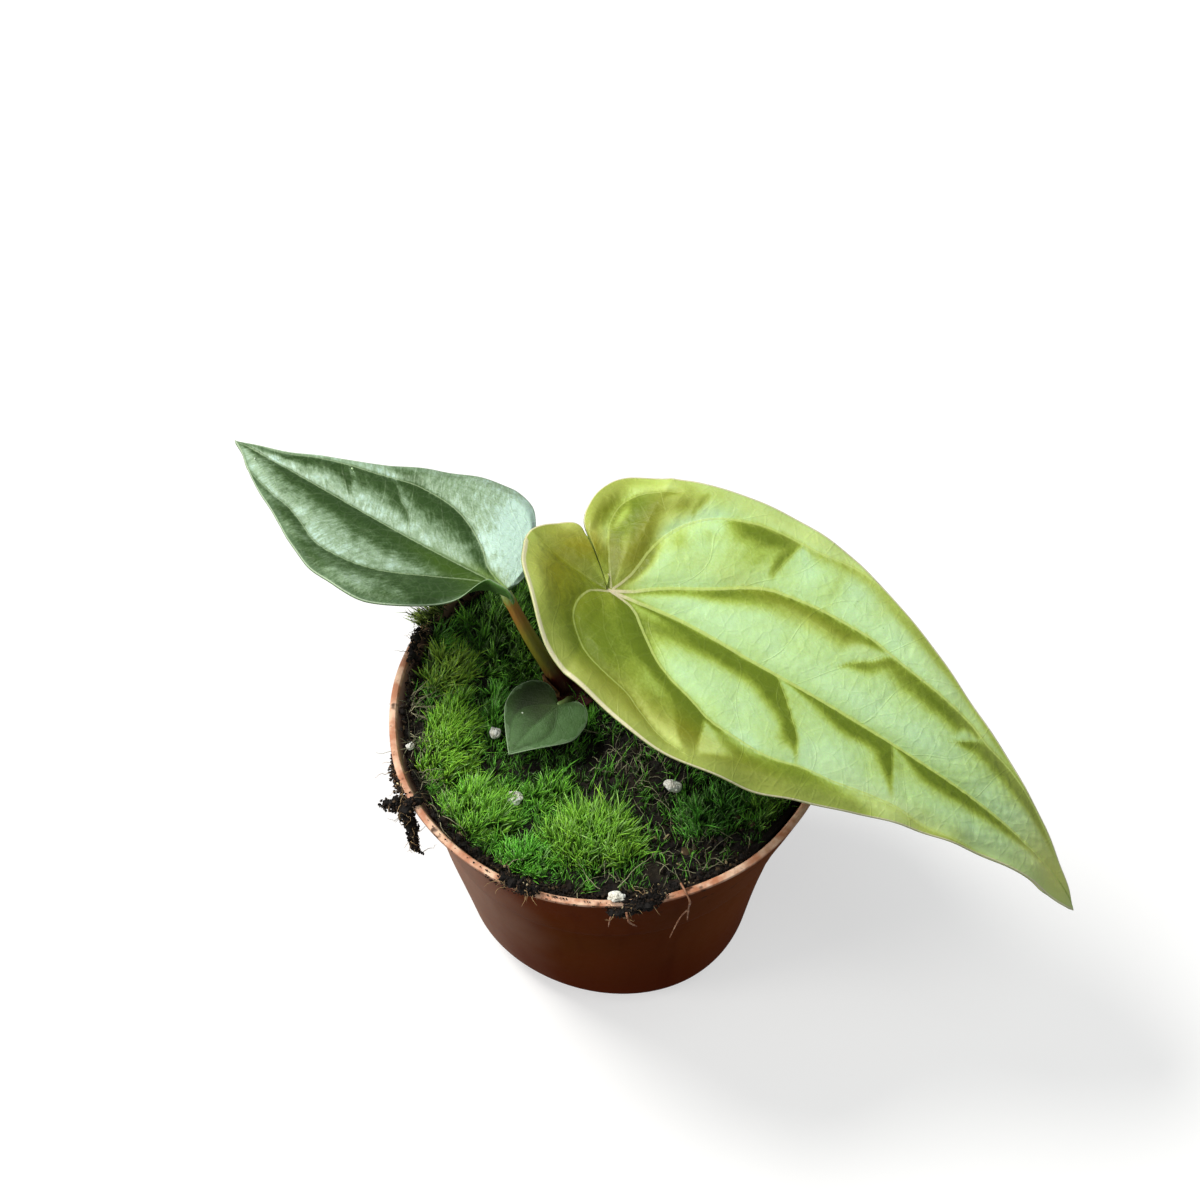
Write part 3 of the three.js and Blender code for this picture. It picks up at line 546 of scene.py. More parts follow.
largeLeaf = {
    "attach": (0, 4, 68), "length": 80, "lobeReach": 22, "heading": -24, "headingTurn": 3,
    "pitch": -10, "pitchTurn": -19, "tipDroop": -44, "roll": 3, "rollTurn": 8,
    "lobeTurn": 9, "lobeRise": 28, "lobeRoll": -45,
    "left": {"fold": 10, "bend": 0.002, "bendTurn": 0.008, "curl": 0, "curlReach": 1},
    "right": {"fold": 9, "bend": 0.002, "bendTurn": 0.008, "curl": 0, "curlReach": 1},
    "thickness": 0.6, "ribDepth": 0.9, "lobeShare": 0.24,
    "leftEdge": [
        (-1.2, 1.8), (-4, 4.2), (-7.2, 6.4), (-8.5, 8.4), (-8.9, 11), (-8.8, 13.3), (-8, 15.5),
        (-6.7, 16.7), (-4.8, 17.3), (-0.3, 18.1), (3.5, 19.3), (8.8, 20.4), (14.4, 20.9), (19.1, 20.7),
        (23.7, 20.1), (26.9, 19.4), (30, 18.3), (33.3, 17.1), (36.5, 15.8), (42.4, 13.2), (47.9, 10.6),
        (53.8, 8.2), (59.3, 5.9), (65.2, 3.7), (71.1, 1.6), (76.4, 0.5), (80, 0),
    ],
    "rightEdge": [
        (-1.5, 0.7), (-3.8, 2.8), (-6.1, 4.9), (-7.6, 6.3), (-8.7, 6.7), (-9.8, 6.3), (-11, 5.1),
        (-12.4, 3.5), (-13.3, 1.4), (-12.9, -1.6), (-11, -6.5), (-4, -13.2), (5.8, -16.6), (15, -18.4),
        (26, -17.1), (33, -14.9), (37.2, -13.4), (43.8, -10.8), (52.4, -8.1), (62, -5.3), (70.1, -3.3),
        (75.8, -1.9), (80, 0),
    ],
    "rows": 320, "across": 46, "seed": 3,
    "veins": {
        "midrib": {"path": [
            (-0.4, 0), (3, 0.15), (6, 0.4), (10, 0.6), (15, 0.45), (20, 0.15), (30, -0.05), (40, -0.25),
            (50, -0.3), (62, -0.25), (72, -0.1), (80, 0),
        ], "width": 0.3, "taper": 0.5},
        "upperMain": {"path": [
            (0, 0.1), (2.5, 1.3), (4.5, 2.7), (7, 4.2), (10, 5.7), (13, 7.4), (15.5, 8.9), (18, 10),
            (21, 10.5), (25, 10.9), (30, 10.9), (33, 10.8), (37, 10), (40, 9.6), (45, 8.9), (49.5, 8),
            (52.5, 6.9), (57, 6.1), (63, 4.2), (70, 1.7), (79, 0.2),
        ], "width": 0.26},
        "lowerMain": {"path": [
            (0, -0.1), (2.5, -0.6), (4, -1.4), (5.5, -3), (7.5, -5), (9.5, -6.8), (12, -8.2), (14, -9),
            (16, -9.8), (18, -10.8), (20, -11.2), (23, -11.4), (26, -11.6), (29, -11.2), (31.5, -10.4),
            (36, -9.8), (41, -8.7), (45, -8.1), (50, -7.9), (56, -6.7), (63, -5.1), (72, -2.8),
            (79.5, -0.2),
        ], "width": 0.22, "taper": 0.8},
        "upperOuter": {"path": [
            (0, 0.4), (1.3, 3.5), (1.9, 7.5), (3.2, 11), (5, 13.5), (7.5, 15.6), (10.5, 16.9), (14, 17.8),
            (18, 18), (22, 18), (26, 18.5), (29.5, 18.2), (34, 16.9), (42, 13.4), (54, 8), (66, 3.6),
            (78, 0.3),
        ], "width": 0.2, "line": 0.7},
        "upperLobe": {"path": [
            (-0.3, 0.5), (-1.8, 3), (-3.8, 6.5), (-4.9, 9), (-5, 12), (-4, 14), (-2.4, 15.2), (0, 16),
            (3, 17.4),
        ], "width": 0.18, "line": 0.45, "fade": (0, 0.3)},
        "lowerLobe": {"path": [
            (-0.4, -0.2), (-2.3, -1.4), (-3, -3), (-3.1, -5), (-2.5, -7), (-1, -8.8), (1.5, -10.8),
            (5, -12.2), (8, -13.2), (10.5, -14.8), (14, -16.5), (18, -17.3),
        ], "width": 0.18, "line": 0.55, "fade": (0, 0.3)},
        "lobeCrease": {"path": [(-0.5, 0), (-4, 0.3), (-8, 0.7), (-11.6, 1.4)], "width": 0.2, "line": 0.1},
        "crossLower": {"path": [
            (24.2, -0.2), (25.5, -2), (27.5, -4.5), (29.5, -7.2), (31, -10.4),
        ], "width": 0.1, "line": 0.5, "crosses": 1.0},
        "crossTip": {"path": [
            (41.2, -0.4), (42, -3), (43.5, -6.5), (44.2, -8),
        ], "width": 0.1, "line": 0.2, "crosses": 0.8},
        "crossUpper": {"path": [
            (19.4, 17.9), (18.4, 15), (17.7, 12.6), (17.4, 10.2),
        ], "width": 0.1, "line": 0.3, "fade": (0, 0.3), "crosses": 0.55},
        "crossBack": {"path": [
            (5.6, 18.6), (5.2, 16), (4.6, 13.6),
        ], "width": 0.1, "line": 0.15, "fade": (0.3, 0.2), "crosses": 0.6},
        "bendFront": {"path": [
            (29.6, 4.4), (32, 6.6), (34, 8), (36, 10.1),
        ], "width": 0.08, "line": 0.1, "fade": (0.6, 0), "crosses": 0.6},
        "bendTip": {"path": [
            (47.6, 4), (50, 5.6), (52.4, 7),
        ], "width": 0.08, "line": 0.1, "fade": (0.6, 0), "crosses": 0.6},
        "backCross": {"path": [
            (-0.6, 15.9), (0.6, 14.2), (2.9, 11.8),
        ], "width": 0.08, "line": 0.3, "crosses": 0.01},
        "lowerFar": {"path": [
            (18, -11), (18.3, -13.5), (19, -16.8),
        ], "width": 0.08, "line": 0.1, "fade": (0.2, 0.3), "crosses": 0.6},
    },
    "raised": ["upperMain", "lowerMain", "upperOuter", "upperLobe", "lowerLobe"],
    "swell": 0.2, "swellLimit": 0.8, "sideSwell": 0.09, "sideSpacing": 9.0, "sideLean": 1.1,
    "pucker": 0.026, "puckerSize": 1.3, "groove": 0.14, "baseReach": 3.2,
    "marginCalm": 2.4, "edgeWave": 0.16, "sheenSide": "left", "sheenShadeSteps": (0.12, 0.44), "soften": 0.24,
    "rimHighlightReach": (2, 18),
    # patches of painted sheen, paler, and painted shade, darker: u, v, reach along, reach across, amount
    "patches": [
        (-7, -1, 8, 6, -1.0), (-3, -7, 5, 6, -0.9), (-6, 4, 4, 2, -0.6), (5, -7, 5, 5, -0.9),
        (13, -13, 6, 3.5, -0.7), (1, -12, 7, 3, -0.6), (22, -14, 5, 2, -0.1), (0.5, 8, 1.9, 5, -1.1),
        (-1.4, 14, 3, 1.8, -0.6), (-1.4, 11, 1.5, 3, -1.0), (-4, 10.5, 0.9, 3, 0.95),
        (-3.5, 10, 1.4, 3.6, -0.3), (-7.2, 12, 2.2, 5.4, -1.3), (-4, 16.8, 4, 1.4, -0.5),
        (3.3, 15.4, 1.7, 2.3, -0.9), (3.3, 9, 1.2, 3, 0.9), (5.6, 12.6, 1.8, 1.8, 1.1),
        (8, 14.8, 2.6, 1.5, 1.1), (1, 18.2, 3, 1, -0.3), (6.6, 18.6, 1.6, 1.4, -0.25),
        (15, 14.6, 2.8, 3.2, -0.5), (12.4, 11.6, 3, 4, -0.22), (8, 8, 2.4, 2, -0.1),
        (25.6, 15, 1.1, 2.6, -0.35), (29, 13, 4, 2.4, 0.2), (21.5, 14.5, 1.6, 3, 0.3),
        (33, 16.4, 8, 1.8, 0.35), (46, 10.4, 7, 1.4, 0.35), (9, -2.2, 6, 1.3, -0.5),
        (15, -2.4, 7, 1.6, -0.45), (24, -3, 3, 2, -0.45), (34, -2, 6, 1.4, -0.35),
        (50, -2.4, 9, 2.2, -0.35), (41, -4, 1.6, 2.6, -0.35), (28, -7.6, 1.2, 2, -0.3),
        (34, -8.6, 3, 1.6, 0.5), (13, 3, 8, 2.4, 0.3), (40, 2.4, 14, 1.8, 0.35), (12, -7, 5, 2.4, 0.3),
        (57, 4.4, 7, 2, -0.3), (36, 7.6, 3, 1.2, 0.15), (44, 7.2, 4, 1.2, -0.2), (23, 8.6, 5, 1, 0.3),
        (68, 0.5, 8, 2, 0.3), (69, -2.4, 7, 1.6, 0.8), (76, -1, 5, 2, 1.4), (58, -4.6, 8, 1.4, 0.5),
        (20, -7, 5, 3, 0.15), (34, -7, 4, 2, 0.2), (44, -9.4, 10, 2, 0.9), (24, -12, 4, 1, 0.4),
        (25, 16.8, 6, 1.2, 0.45), (36, 12, 5, 2, 0.3), (62, 1, 6, 1.4, 0.4), (23.2, -11.2, 2.6, 1.4, 0.4),
        (25, 17.3, 5, 1, 0.3), (28.4, -8, 1.6, 1.6, -0.3), (73, 0, 6, 2, 0.3),
    ],
    # yellower places: the young leaf's own colour, and painted light on the drooping tail, which faces away
    # from the key lamp
    "fresh": [
        (-9, -3, 6, 8, 0.8), (-8, 5, 6, 2.4, 0.9), (-7.4, 12, 2.4, 6, 0.45), (4, -14, 8, 3, 0.5),
        (15, -15.4, 8, 2.4, 0.6), (0.5, 8, 2, 8, 0.6), (72, 0, 9, 4, 1.0), (50, -9, 12, 2, 0.5),
        (28, -15, 8, 2, 0.3), (3, 15.5, 3, 3, 0.4), (24, 9, 12, 1.2, 0.3), (20, 19.4, 14, 1.4, 0.3),
    ],
}

middleLeaf = {
    "attach": (-14.2, 8.9, 62), "length": 45.5, "lobeReach": 12, "heading": 150, "headingTurn": -6,
    "pitch": 0, "pitchTurn": 6, "tipDroop": -16, "roll": 4, "rollTurn": 0,
    "lobeTurn": 0, "lobeRise": 12, "lobeRoll": 0,
    "left": {"fold": 8, "bend": -0.03, "bendTurn": 0.05, "curl": -0.21, "curlReach": 2.2},
    "right": {"fold": 0, "bend": 0.005, "bendTurn": 0, "curl": 0, "curlReach": 1},
    "thickness": 0.5, "ribDepth": 0.8, "lobeShare": 0.2,
    "leftEdge": [
        (-1.2, 1.4), (-3, 3), (-4, 5.2), (-3, 6.8), (0, 7), (2.8, 7.4), (5, 9.2), (7.4, 12.2), (9, 13.6),
        (11, 14.6), (13, 15.2), (15.4, 15.3), (17.6, 14.9), (21.3, 13.8), (24.3, 12.4), (27.2, 10.9),
        (29.7, 9.3), (32.3, 7.8), (35.4, 6.3), (38, 4.7), (40.6, 3), (42.6, 1.6), (45.5, 0),
    ],
    "rightEdge": [
        (-1.2, -1.4), (-1.2, -5), (0.2, -8.6), (2.2, -11.6), (3.8, -13.7), (5.3, -14.8), (7.6, -15.7),
        (9.6, -15.8), (13.7, -14.9), (18.9, -12.5), (21.5, -11.2), (23.9, -9.9), (26.2, -8.4), (28.6, -7),
        (33.9, -4.6), (38.9, -2.2), (42, -1), (45.5, 0),
    ],
    "rows": 220, "across": 36, "seed": 11,
    "veins": {
        "midrib": {"path": [(-0.3, 0), (12, 0), (28, 0), (45.5, 0)], "width": 0.16},
        "frontMain": {"path": [
            (0, 0.1), (4, 1.4), (7.5, 3.6), (10, 5.2), (13, 7.2), (15, 8.2), (18, 9), (22, 9.2), (25, 8.6),
            (28, 7), (31, 5.8), (35, 5.1), (40, 3.3), (43, 1.2), (45, 0.1),
        ], "width": 0.13},
        "backMain": {"path": [
            (0, -0.1), (2, -0.8), (4, -2), (6, -4), (9, -6.1), (12, -7.6), (15, -8.3), (18, -8.4),
            (20.5, -8.2), (23.5, -7.4), (26.5, -6.4), (29.5, -5.6), (34, -4), (39, -1.8), (45, -0.1),
        ], "width": 0.15},
        "crossBack": {"path": [
            (15.5, -0.6), (18, -3.4), (20, -4.6), (22.6, -7.2),
        ], "width": 0.08, "line": 0.4, "fade": (0.6, 0.2), "crosses": 0.5},
        "crossTip": {"path": [
            (25.4, -0.4), (26.6, -2.4), (28, -4), (29.6, -5.4),
        ], "width": 0.07, "line": 0.15, "fade": (0.6, 0.2), "crosses": 0.5},
    },
    "raised": ["frontMain", "backMain"],
    "swell": 0.2, "swellLimit": 0.7, "sideSwell": 0.07, "sideSpacing": 5.5, "sideLean": 1.0,
    "pucker": 0.025, "puckerSize": 1.0, "groove": 0.12, "baseReach": 3.0,
    "marginCalm": 2.0, "edgeWave": 0.12, "sheenSide": "right", "sheenShadeSteps": (0.17, 0.88), "soften": 0.22,
    "rimHighlightReach": (-9, -8),
    # patches of painted sheen, paler, and painted shade, darker: u, v, reach along, reach across, amount
    "patches": [
        (2.5, -11, 4.5, 6.5, 0.75), (-1, -6, 3, 6, 0.4), (15, -12, 4, 3, -0.1), (22, -9, 3.4, 1.4, -0.7),
        (17.5, -11.4, 3, 1.6, -0.15), (6.4, 1.8, 5, 2.2, -0.5), (4.5, 6, 4, 5, -0.5),
        (9.5, 8, 2.6, 2.6, 0.15), (12, 4, 3.5, 1.4, -0.3), (16, 13.2, 4.5, 1.6, 0.8),
        (9.5, 11.8, 2, 1.4, 0.5), (21, 11.2, 5, 1.6, 0.2), (28, 9.4, 5, 1.4, 0.55), (35, 6.2, 4, 1.1, 0.5),
        (13.5, 10.6, 1.6, 1.6, 0.35), (22, 1.4, 8, 1.2, -0.25), (33, 1.2, 6, 1.2, -0.1),
        (8, -2.4, 4, 1.8, 0.2), (20.6, -5, 2.2, 1.3, -0.3), (28, -3.4, 2, 1.1, -0.4),
        (31, -1.4, 2.4, 0.8, 0.15), (35, -2.8, 1.8, 0.7, -0.3), (39, -0.9, 3, 0.7, 0.3),
        (13, -6.6, 5, 1, -0.2), (24, 5, 3, 1.6, 0.15), (32, 4.4, 2, 1, -0.2), (38, 2, 3, 0.8, 0.25),
        (41, 1, 3, 0.8, 0.2), (17, -2, 5, 1.4, 0.1), (6.5, -5, 1.6, 1.4, 0.25), (24, -2, 2.4, 1.2, 0.2),
        (38, 0.6, 2, 1, 0.3), (30.5, -2.7, 1.6, 0.9, 0.3), (23.2, -7.7, 2, 1, 0.4),
        (14.7, 12.3, 2.4, 1.4, 0.3), (5.2, 2.7, 2.4, 1, -0.5),
    ],
    "fresh": [(6, 1.6, 5.5, 1.8, 0.9), (11, 1.2, 6, 1.2, 0.6), (3, -0.6, 2.4, 0.9, 0.7), (1, 4, 3, 3, 0.7)],
}

smallLeaf = {
    "attach": (-7.2, -1.2, 49), "length": 9.4, "lobeReach": 5, "heading": 227, "headingTurn": 0,
    "pitch": -4, "pitchTurn": -14, "tipDroop": 0, "roll": 0, "rollTurn": 0,
    "lobeTurn": 0, "lobeRise": 0, "lobeRoll": 0,
    "left": {"fold": 0, "bend": 0.03, "bendTurn": 0, "curl": 0, "curlReach": 1},
    "right": {"fold": 0, "bend": 0.03, "bendTurn": 0, "curl": 0, "curlReach": 1},
    "thickness": 0.4, "ribDepth": 0.35, "lobeShare": 0.45,
    "leftEdge": [
        (-0.9, 0.5), (-2.3, 1.6), (-2.3, 3.3), (-1.2, 4.5), (0.5, 5.1), (2.8, 4.9), (6.8, 2), (9.4, 0),
    ],
    "rightEdge": [
        (-0.7, -0.6), (-1.5, -2), (-1.7, -3.8), (-1, -5.3), (0.4, -6.2), (2.1, -6.5), (5, -5.2), (9.4, 0),
    ],
    "rows": 90, "across": 22, "seed": 19,
    "veins": {
        "midrib": {"path": [(-0.2, 0), (3, -0.1), (6, -0.1), (9.3, 0)], "width": 0.16},
        "leftMain": {"path": [(0, 0.1), (1.5, 1.4), (3.6, 2.4), (6.2, 1.6), (9, 0.1)], "width": 0.1},
        "rightMain": {"path": [(0, -0.1), (1.4, -1.8), (3.2, -3.2), (5.6, -3), (9, -0.2)], "width": 0.1},
    },
    "raised": [],
    "swell": 0.03, "swellLimit": 0.15, "sideSwell": 0.01, "sideSpacing": 2.2, "sideLean": 0.8,
    "pucker": 0.008, "puckerSize": 0.9, "groove": 0.02, "baseReach": 1.0,
    "marginCalm": 0.7, "edgeWave": 0.08, "sheenSide": "left", "sheenShadeSteps": (-2.0, 3.0), "soften": 0.1,
    "rimHighlightReach": (-9, -8),
    # patches of painted sheen, paler, and painted shade, darker: u, v, reach along, reach across, amount
    "patches": [
        (1.2, -3, 3.0, 2.4, -0.6), (5.5, 0, 3, 3, 0.15), (0.5, 3, 2.2, 2.2, 0.05), (5, -4, 2, 1.5, 0.15),
    ],
    "fresh": [(0.6, -1.6, 2, 1.6, 0.6)],
}


def bladePaint(name, leaf, looks):
    # a ramp over the tone, painted sheen on each panel's pale side and painted shade on its dark side, made
    # uneven by three sizes of noise, then the young yellow places with painted light on the large leaf's
    # tail, the edge with painted light shining through it, the net, the side veins, the main veins, the rim's
    # painted highlight and the underside on top of it
    paint = Paint(name)
    plan = paint.node("ShaderNodeUVMap", {"uv_map": "plan"}, {})
    fine = paint.noise(plan, looks["grainScale"], 4.0, 0.6)
    broad = paint.noise(plan, looks["cloudScale"], 3.0, 0.55)
    net = paint.cells(plan, looks["netScale"], "DISTANCE_TO_EDGE")
    netLine = paint.step(net, 0.0, 0.09, 1.0, 0.0)
    alongSide = paint.attribute("side") * leaf["sideSpacing"]
    lanes = paint.node("ShaderNodeCombineXYZ", {}, {0: alongSide, 1: paint.attribute("across") * 0.3})
    brushed = paint.noise(lanes, looks["laneScale"], 4.0, 0.6)
    # the tone: painted sheen on each panel's pale side, painted shade on its dark side
    tone = paint.attribute("tone") + (broad - 0.5) * looks["cloudShare"] + (fine - 0.5) * looks["grainShare"]
    tone = tone + (brushed - 0.5) * looks["laneShare"]
    tone = paint.ramp(tone * 0.66 + 0.1, *[(p, tint(c)) for p, c in looks["tones"]])
    # the yellow places: the young leaf's own colour, and on the large leaf's tail painted light
    freshAndLitShare = paint.step(paint.attribute("tone"), 0.0, 1.0)
    freshAndLitTone = paint.mix(freshAndLitShare, tint(looks["freshAndLitDark"]), tint(looks["freshAndLitPale"]))
    tone = paint.mix(paint.attribute("fresh"), tone, freshAndLitTone)
    margin = paint.attribute("margin")
    # a paler yellow-green band along the edge: the margin's own colour and painted light shining through the
    # thin margin
    nearEdge = paint.step(margin + (broad - 0.5) * 3.0, 0.3, looks["edgeGlowReach"], 1.0, 0.0)
    colour = paint.mix(nearEdge * looks["edgeGlowShare"], tone, tint(looks["edgeGlowTone"]))
    colour = paint.mix(netLine * looks["netShare"], colour, tint(looks["veinTone"]))
    side = abs(paint.sum("FRACT", paint.attribute("side") + 0.5) - 0.5)
    sideLine = paint.step(side, 0.0, looks["sideWidth"] / leaf["sideSpacing"], 1.0, 0.0)
    sideLine = sideLine * paint.step(broad, 0.35, 0.65, 0.35, 1.0)
    colour = paint.mix(sideLine * looks["sideShare"], colour, tint(looks["veinTone"]))
    lines = None
    for key in leaf["veins"]:
        line = paint.step(abs(paint.attribute(key)), 0.55, 1.15, leaf["veins"][key].get("line", 1.0), 0.0)
        lines = line if lines is None else paint.most(lines, line)
    veinTone = paint.mix(paint.attribute("near"), tint(looks["veinTone"]), tint(looks["baseTone"]))
    colour = paint.mix(lines * looks["lineShare"], colour, veinTone)
    # a pale line along the edge: a painted highlight where the thick margin catches the light
    rimHighlightPlace = margin / (1 + paint.attribute("rim") * looks["rimHighlightGrowth"])
    rim = paint.step(rimHighlightPlace, looks["rimHighlightWidth"] * 0.6, looks["rimHighlightWidth"], 1.0, 0.0)
    colour = paint.mix(rim * looks["rimHighlightShare"], colour, tint(looks["rimHighlightTone"]))
    under = paint.attribute("under")
    underTone = paint.mix(broad, tint(looks["underDark"]), tint(looks["underPale"]))
    underTone = paint.mix(lines, underTone, tint(looks["underVein"]))
    colour = paint.mix(under, colour, underTone)
    height = lines * 0.8 + sideLine * 0.35 + netLine * 0.18 + fine * 0.5
    rough = looks["roughness"] + (fine - 0.5) * 0.2 + under * 0.15
    return paint.finish({
        "Base Color": colour, "Roughness": rough, "Normal": paint.bump(height, looks["bump"], 0.0003),
        "Specular IOR Level": looks["gloss"], "Subsurface Weight": looks["glow"],
        "Subsurface Radius": (0.6, 1.0, 0.25), "Subsurface Scale": 0.0006,
        "Sheen Weight": looks["sheen"], "Sheen Roughness": 0.4,
    })


largeLooks = {
    "grainScale": 230, "cloudScale": 26, "netScale": 46, "grainShare": 0.42, "cloudShare": 0.5,
    "laneScale": 0.9, "laneShare": 0.3, "freshAndLitDark": "#868412", "freshAndLitPale": "#d4da7c",
    # tones from olive, painted shade, to pale mint, painted sheen
    "tones": [(0.04, "#687c14"), (0.24, "#869a2e"), (0.42, "#a2bb50"), (0.58, "#b3cf76"), (0.74, "#bbdc90"),
              (1.0, "#c2e6ac")],
    "edgeGlowReach": 5.0, "edgeGlowShare": 0.4, "edgeGlowTone": "#bccb68", "netShare": 0.03, "veinTone": "#c6d878",
    "baseTone": "#ecdcc0", "sideWidth": 0.2, "sideShare": 0.08, "lineShare": 0.72,
    "rimHighlightWidth": 0.22, "rimHighlightGrowth": 2.0, "rimHighlightTone": "#e8dfc0", "rimHighlightShare": 0.75, "underDark": "#7f9335",
    "underPale": "#94a848",
    "underVein": "#b3c26c", "roughness": 0.5, "bump": 0.35, "gloss": 0.35, "glow": 0.1, "sheen": 0.03,
}
middleLooks = {
    "grainScale": 300, "cloudScale": 60, "netScale": 60, "grainShare": 0.6, "cloudShare": 1.1,
    "laneScale": 2.2, "laneShare": 1.1, "freshAndLitDark": "#3d5a14", "freshAndLitPale": "#6f8c3c",
    # tones from dark green, painted shade, through the leaf's silver to pale mint, painted sheen
    "tones": [(0.08, "#2c4818"), (0.25, "#3f5a2e"), (0.42, "#5c7650"), (0.6, "#7f9977"), (0.76, "#97b193"),
              (1.0, "#bad8c9")],
    "edgeGlowReach": 1.0, "edgeGlowShare": 0.15, "edgeGlowTone": "#8fb090", "netShare": 0.05, "veinTone": "#9fb58a",
    "baseTone": "#86a83c", "sideWidth": 0.18, "sideShare": 0.1, "lineShare": 0.6,
    "rimHighlightWidth": 0.16, "rimHighlightGrowth": 1.0, "rimHighlightTone": "#c4d8b8", "rimHighlightShare": 0.6, "underDark": "#35601c",
    "underPale": "#4f7a2c",
    "underVein": "#8fb04c", "roughness": 0.45, "bump": 0.4, "gloss": 0.35, "glow": 0.05, "sheen": 0.03,
}
smallLooks = {
    "grainScale": 420, "cloudScale": 60, "netScale": 150, "grainShare": 0.5, "cloudShare": 0.5,
    "laneScale": 3.0, "laneShare": 0.2, "freshAndLitDark": "#2a3812", "freshAndLitPale": "#4a5a2a",
    # tones from dark green, painted shade, to sage, painted sheen
    "tones": [(0.1, "#1a280c"), (0.3, "#2c421c"), (0.5, "#416032"), (0.75, "#557848"), (1.0, "#6f9060")],
    "edgeGlowReach": 0.5, "edgeGlowShare": 0.3, "edgeGlowTone": "#7c9a72", "netShare": 0.03, "veinTone": "#54704a",
    "baseTone": "#4a5a2a", "sideWidth": 0.1, "sideShare": 0.04, "lineShare": 0.1,
    "rimHighlightWidth": 0.12, "rimHighlightGrowth": 1.0, "rimHighlightTone": "#a8c09c", "rimHighlightShare": 0.7, "underDark": "#3c5a2a",
    "underPale": "#4f6f38",
    "underVein": "#7f9a5c", "roughness": 0.5, "bump": 0.35, "gloss": 0.2, "glow": 0.03, "sheen": 0.0,
}

# piece: leaf, looks, material, slot, CAD node
leaves = {
    "leafBladeLarge": (largeLeaf, largeLooks, "largeBlade", "young_blade", "blade_large"),
    "leafBladeMiddle": (middleLeaf, middleLooks, "silverBlade", "silver_blade", "blade_middle"),
    "leafBladeSmall": (smallLeaf, smallLooks, "juvenileBlade", "juvenile_blade", "blade_small"),
}
for name, (leaf, looks, finish, slotName, node) in leaves.items():
    makeBlade(name, leaf, bladePaint(finish, leaf, looks), slotName, node)
print("leaves made")


# Leaf stalks, sheaths and stem

def radiusAt(radii, share):
    # a smooth curve through the radii, which stand at even shares of the path
    return splineAt([(i, r) for i, r in enumerate(radii)], share, False)[:, 1]


def tubeRings(path, radii, count, around, swell=None):
    # circles carried along the path: place + radius (cos a n + sin a b), with n and b square to the path
    share = np.linspace(0, 1, count)
    line = splineAt(path, share)
    radius = radiusAt(radii, share)
    forward = np.gradient(line, axis=0)
    forward /= np.linalg.norm(forward, axis=1, keepdims=True)
    guide = np.cross(forward[0], (0.3, 0.9, 0.2))  # any direction that no path starts along
    normals = []
    for tangent in forward:
        guide = guide - tangent * (guide @ tangent)
        guide /= np.linalg.norm(guide)
        normals.append(guide)
    normals = np.array(normals)
    sides = np.cross(forward, normals)
    angle = np.linspace(0, 2 * np.pi, around, endpoint=False)
    radius = radius[:, None] * (swell(share[:, None], angle[None, :]) if swell else np.ones(around))
    cosine, sine = np.cos(angle)[None, :, None], np.sin(angle)[None, :, None]
    circle = cosine * normals[:, None] + sine * sides[:, None]
    return line[:, None] + radius[..., None] * circle


def makeStalk(name, values, material):
    # a tube with fine ribs, a knee exp(-((share - knee place) / width)^2) below the blade and a slow twist
    def swell(share, angle):
        ribs = 0.02 * np.cos(9 * angle) + 0.012 * np.cos(15 * angle + 2)
        knee = values["knee"] * np.exp(-((share - values["kneeAt"]) / stalkBuild["kneeWidth"]) ** 2)
        return 1 + ribs + knee + 0.03 * np.sin(9 * share + 2 * angle)
    rows, around = stalkBuild["rows"], stalkBuild["around"]
    points, faceSets = ringTube(tubeRings(values["path"], values["radii"], rows, around, swell))
    share = np.concatenate([np.repeat(np.linspace(0, 1, rows), around), [0, 1]])
    mesh = makeMesh(name, points, faceSets, {"along": share})
    addPiece(name, mesh, material, "petiole", values["node"])


def stalkPaint(name, stops):
    # colours along the stalk, with fine lengthwise streaks
    paint = Paint(name)
    place = paint.place()
    streaks = paint.noise(paint.scaled(place, (2600, 2600, 260)), 1.0, 3.0, 0.6)
    along = paint.attribute("along") + (streaks - 0.5) * 0.12
    colour = paint.ramp(along, *[(p, tint(c)) for p, c in stops])
    colour = paint.mix(paint.step(streaks, 0.55, 0.75) * 0.2, colour, tint("#a08c4a"))
    return paint.finish({
        "Base Color": colour, "Roughness": 0.38 + streaks * 0.2, "Normal": paint.bump(streaks, 0.35, 0.0002),
        "Subsurface Weight": 0.12, "Subsurface Radius": (0.8, 0.6, 0.2), "Subsurface Scale": 0.0008,
        "Specular IOR Level": 0.5,
    })


stalkBuild = {"rows": 70, "around": 32, "kneeWidth": 0.045}
stalks = {
    "leafStalkLarge": {
        "node": "petiole_large", "skin": "stalkSkin", "knee": 0.16, "kneeAt": 0.9,
        "path": [(-4.3, 4.6, 44.2), (-3.6, 5.2, 46), (-3.9, 6, 52), (-2.9, 5.8, 60), (-0.15, 4.1, 67.3)],
        "radii": [1.7, 1.45, 1.2, 1.1, 1.35],
    },
    "leafStalkMiddle": {
        "node": "petiole_middle", "skin": "stalkSkin", "knee": 0.12, "kneeAt": 0.93,
        "path": [(-6.2, 4.5, 44.4), (-6.9, 4.6, 46.1), (-8.4, 5, 49.5), (-11, 6.3, 54.8), (-14.1, 8.8, 61.2)],
        "radii": [1.4, 1.15, 0.98, 0.84, 0.76],
    },
    "leafStalkSmall": {
        "node": "petiole_small", "skin": "smallStalkSkin", "knee": 0.1, "kneeAt": 0.9,
        "path": [(-5.4, 2.6, 44.6), (-5.6, 1.7, 46), (-5.7, 1.1, 47), (-6.1, 0, 48.2), (-7.1, -1.1, 48.8)],
        "radii": [0.7, 0.6, 0.5, 0.45, 0.45],
    },
}
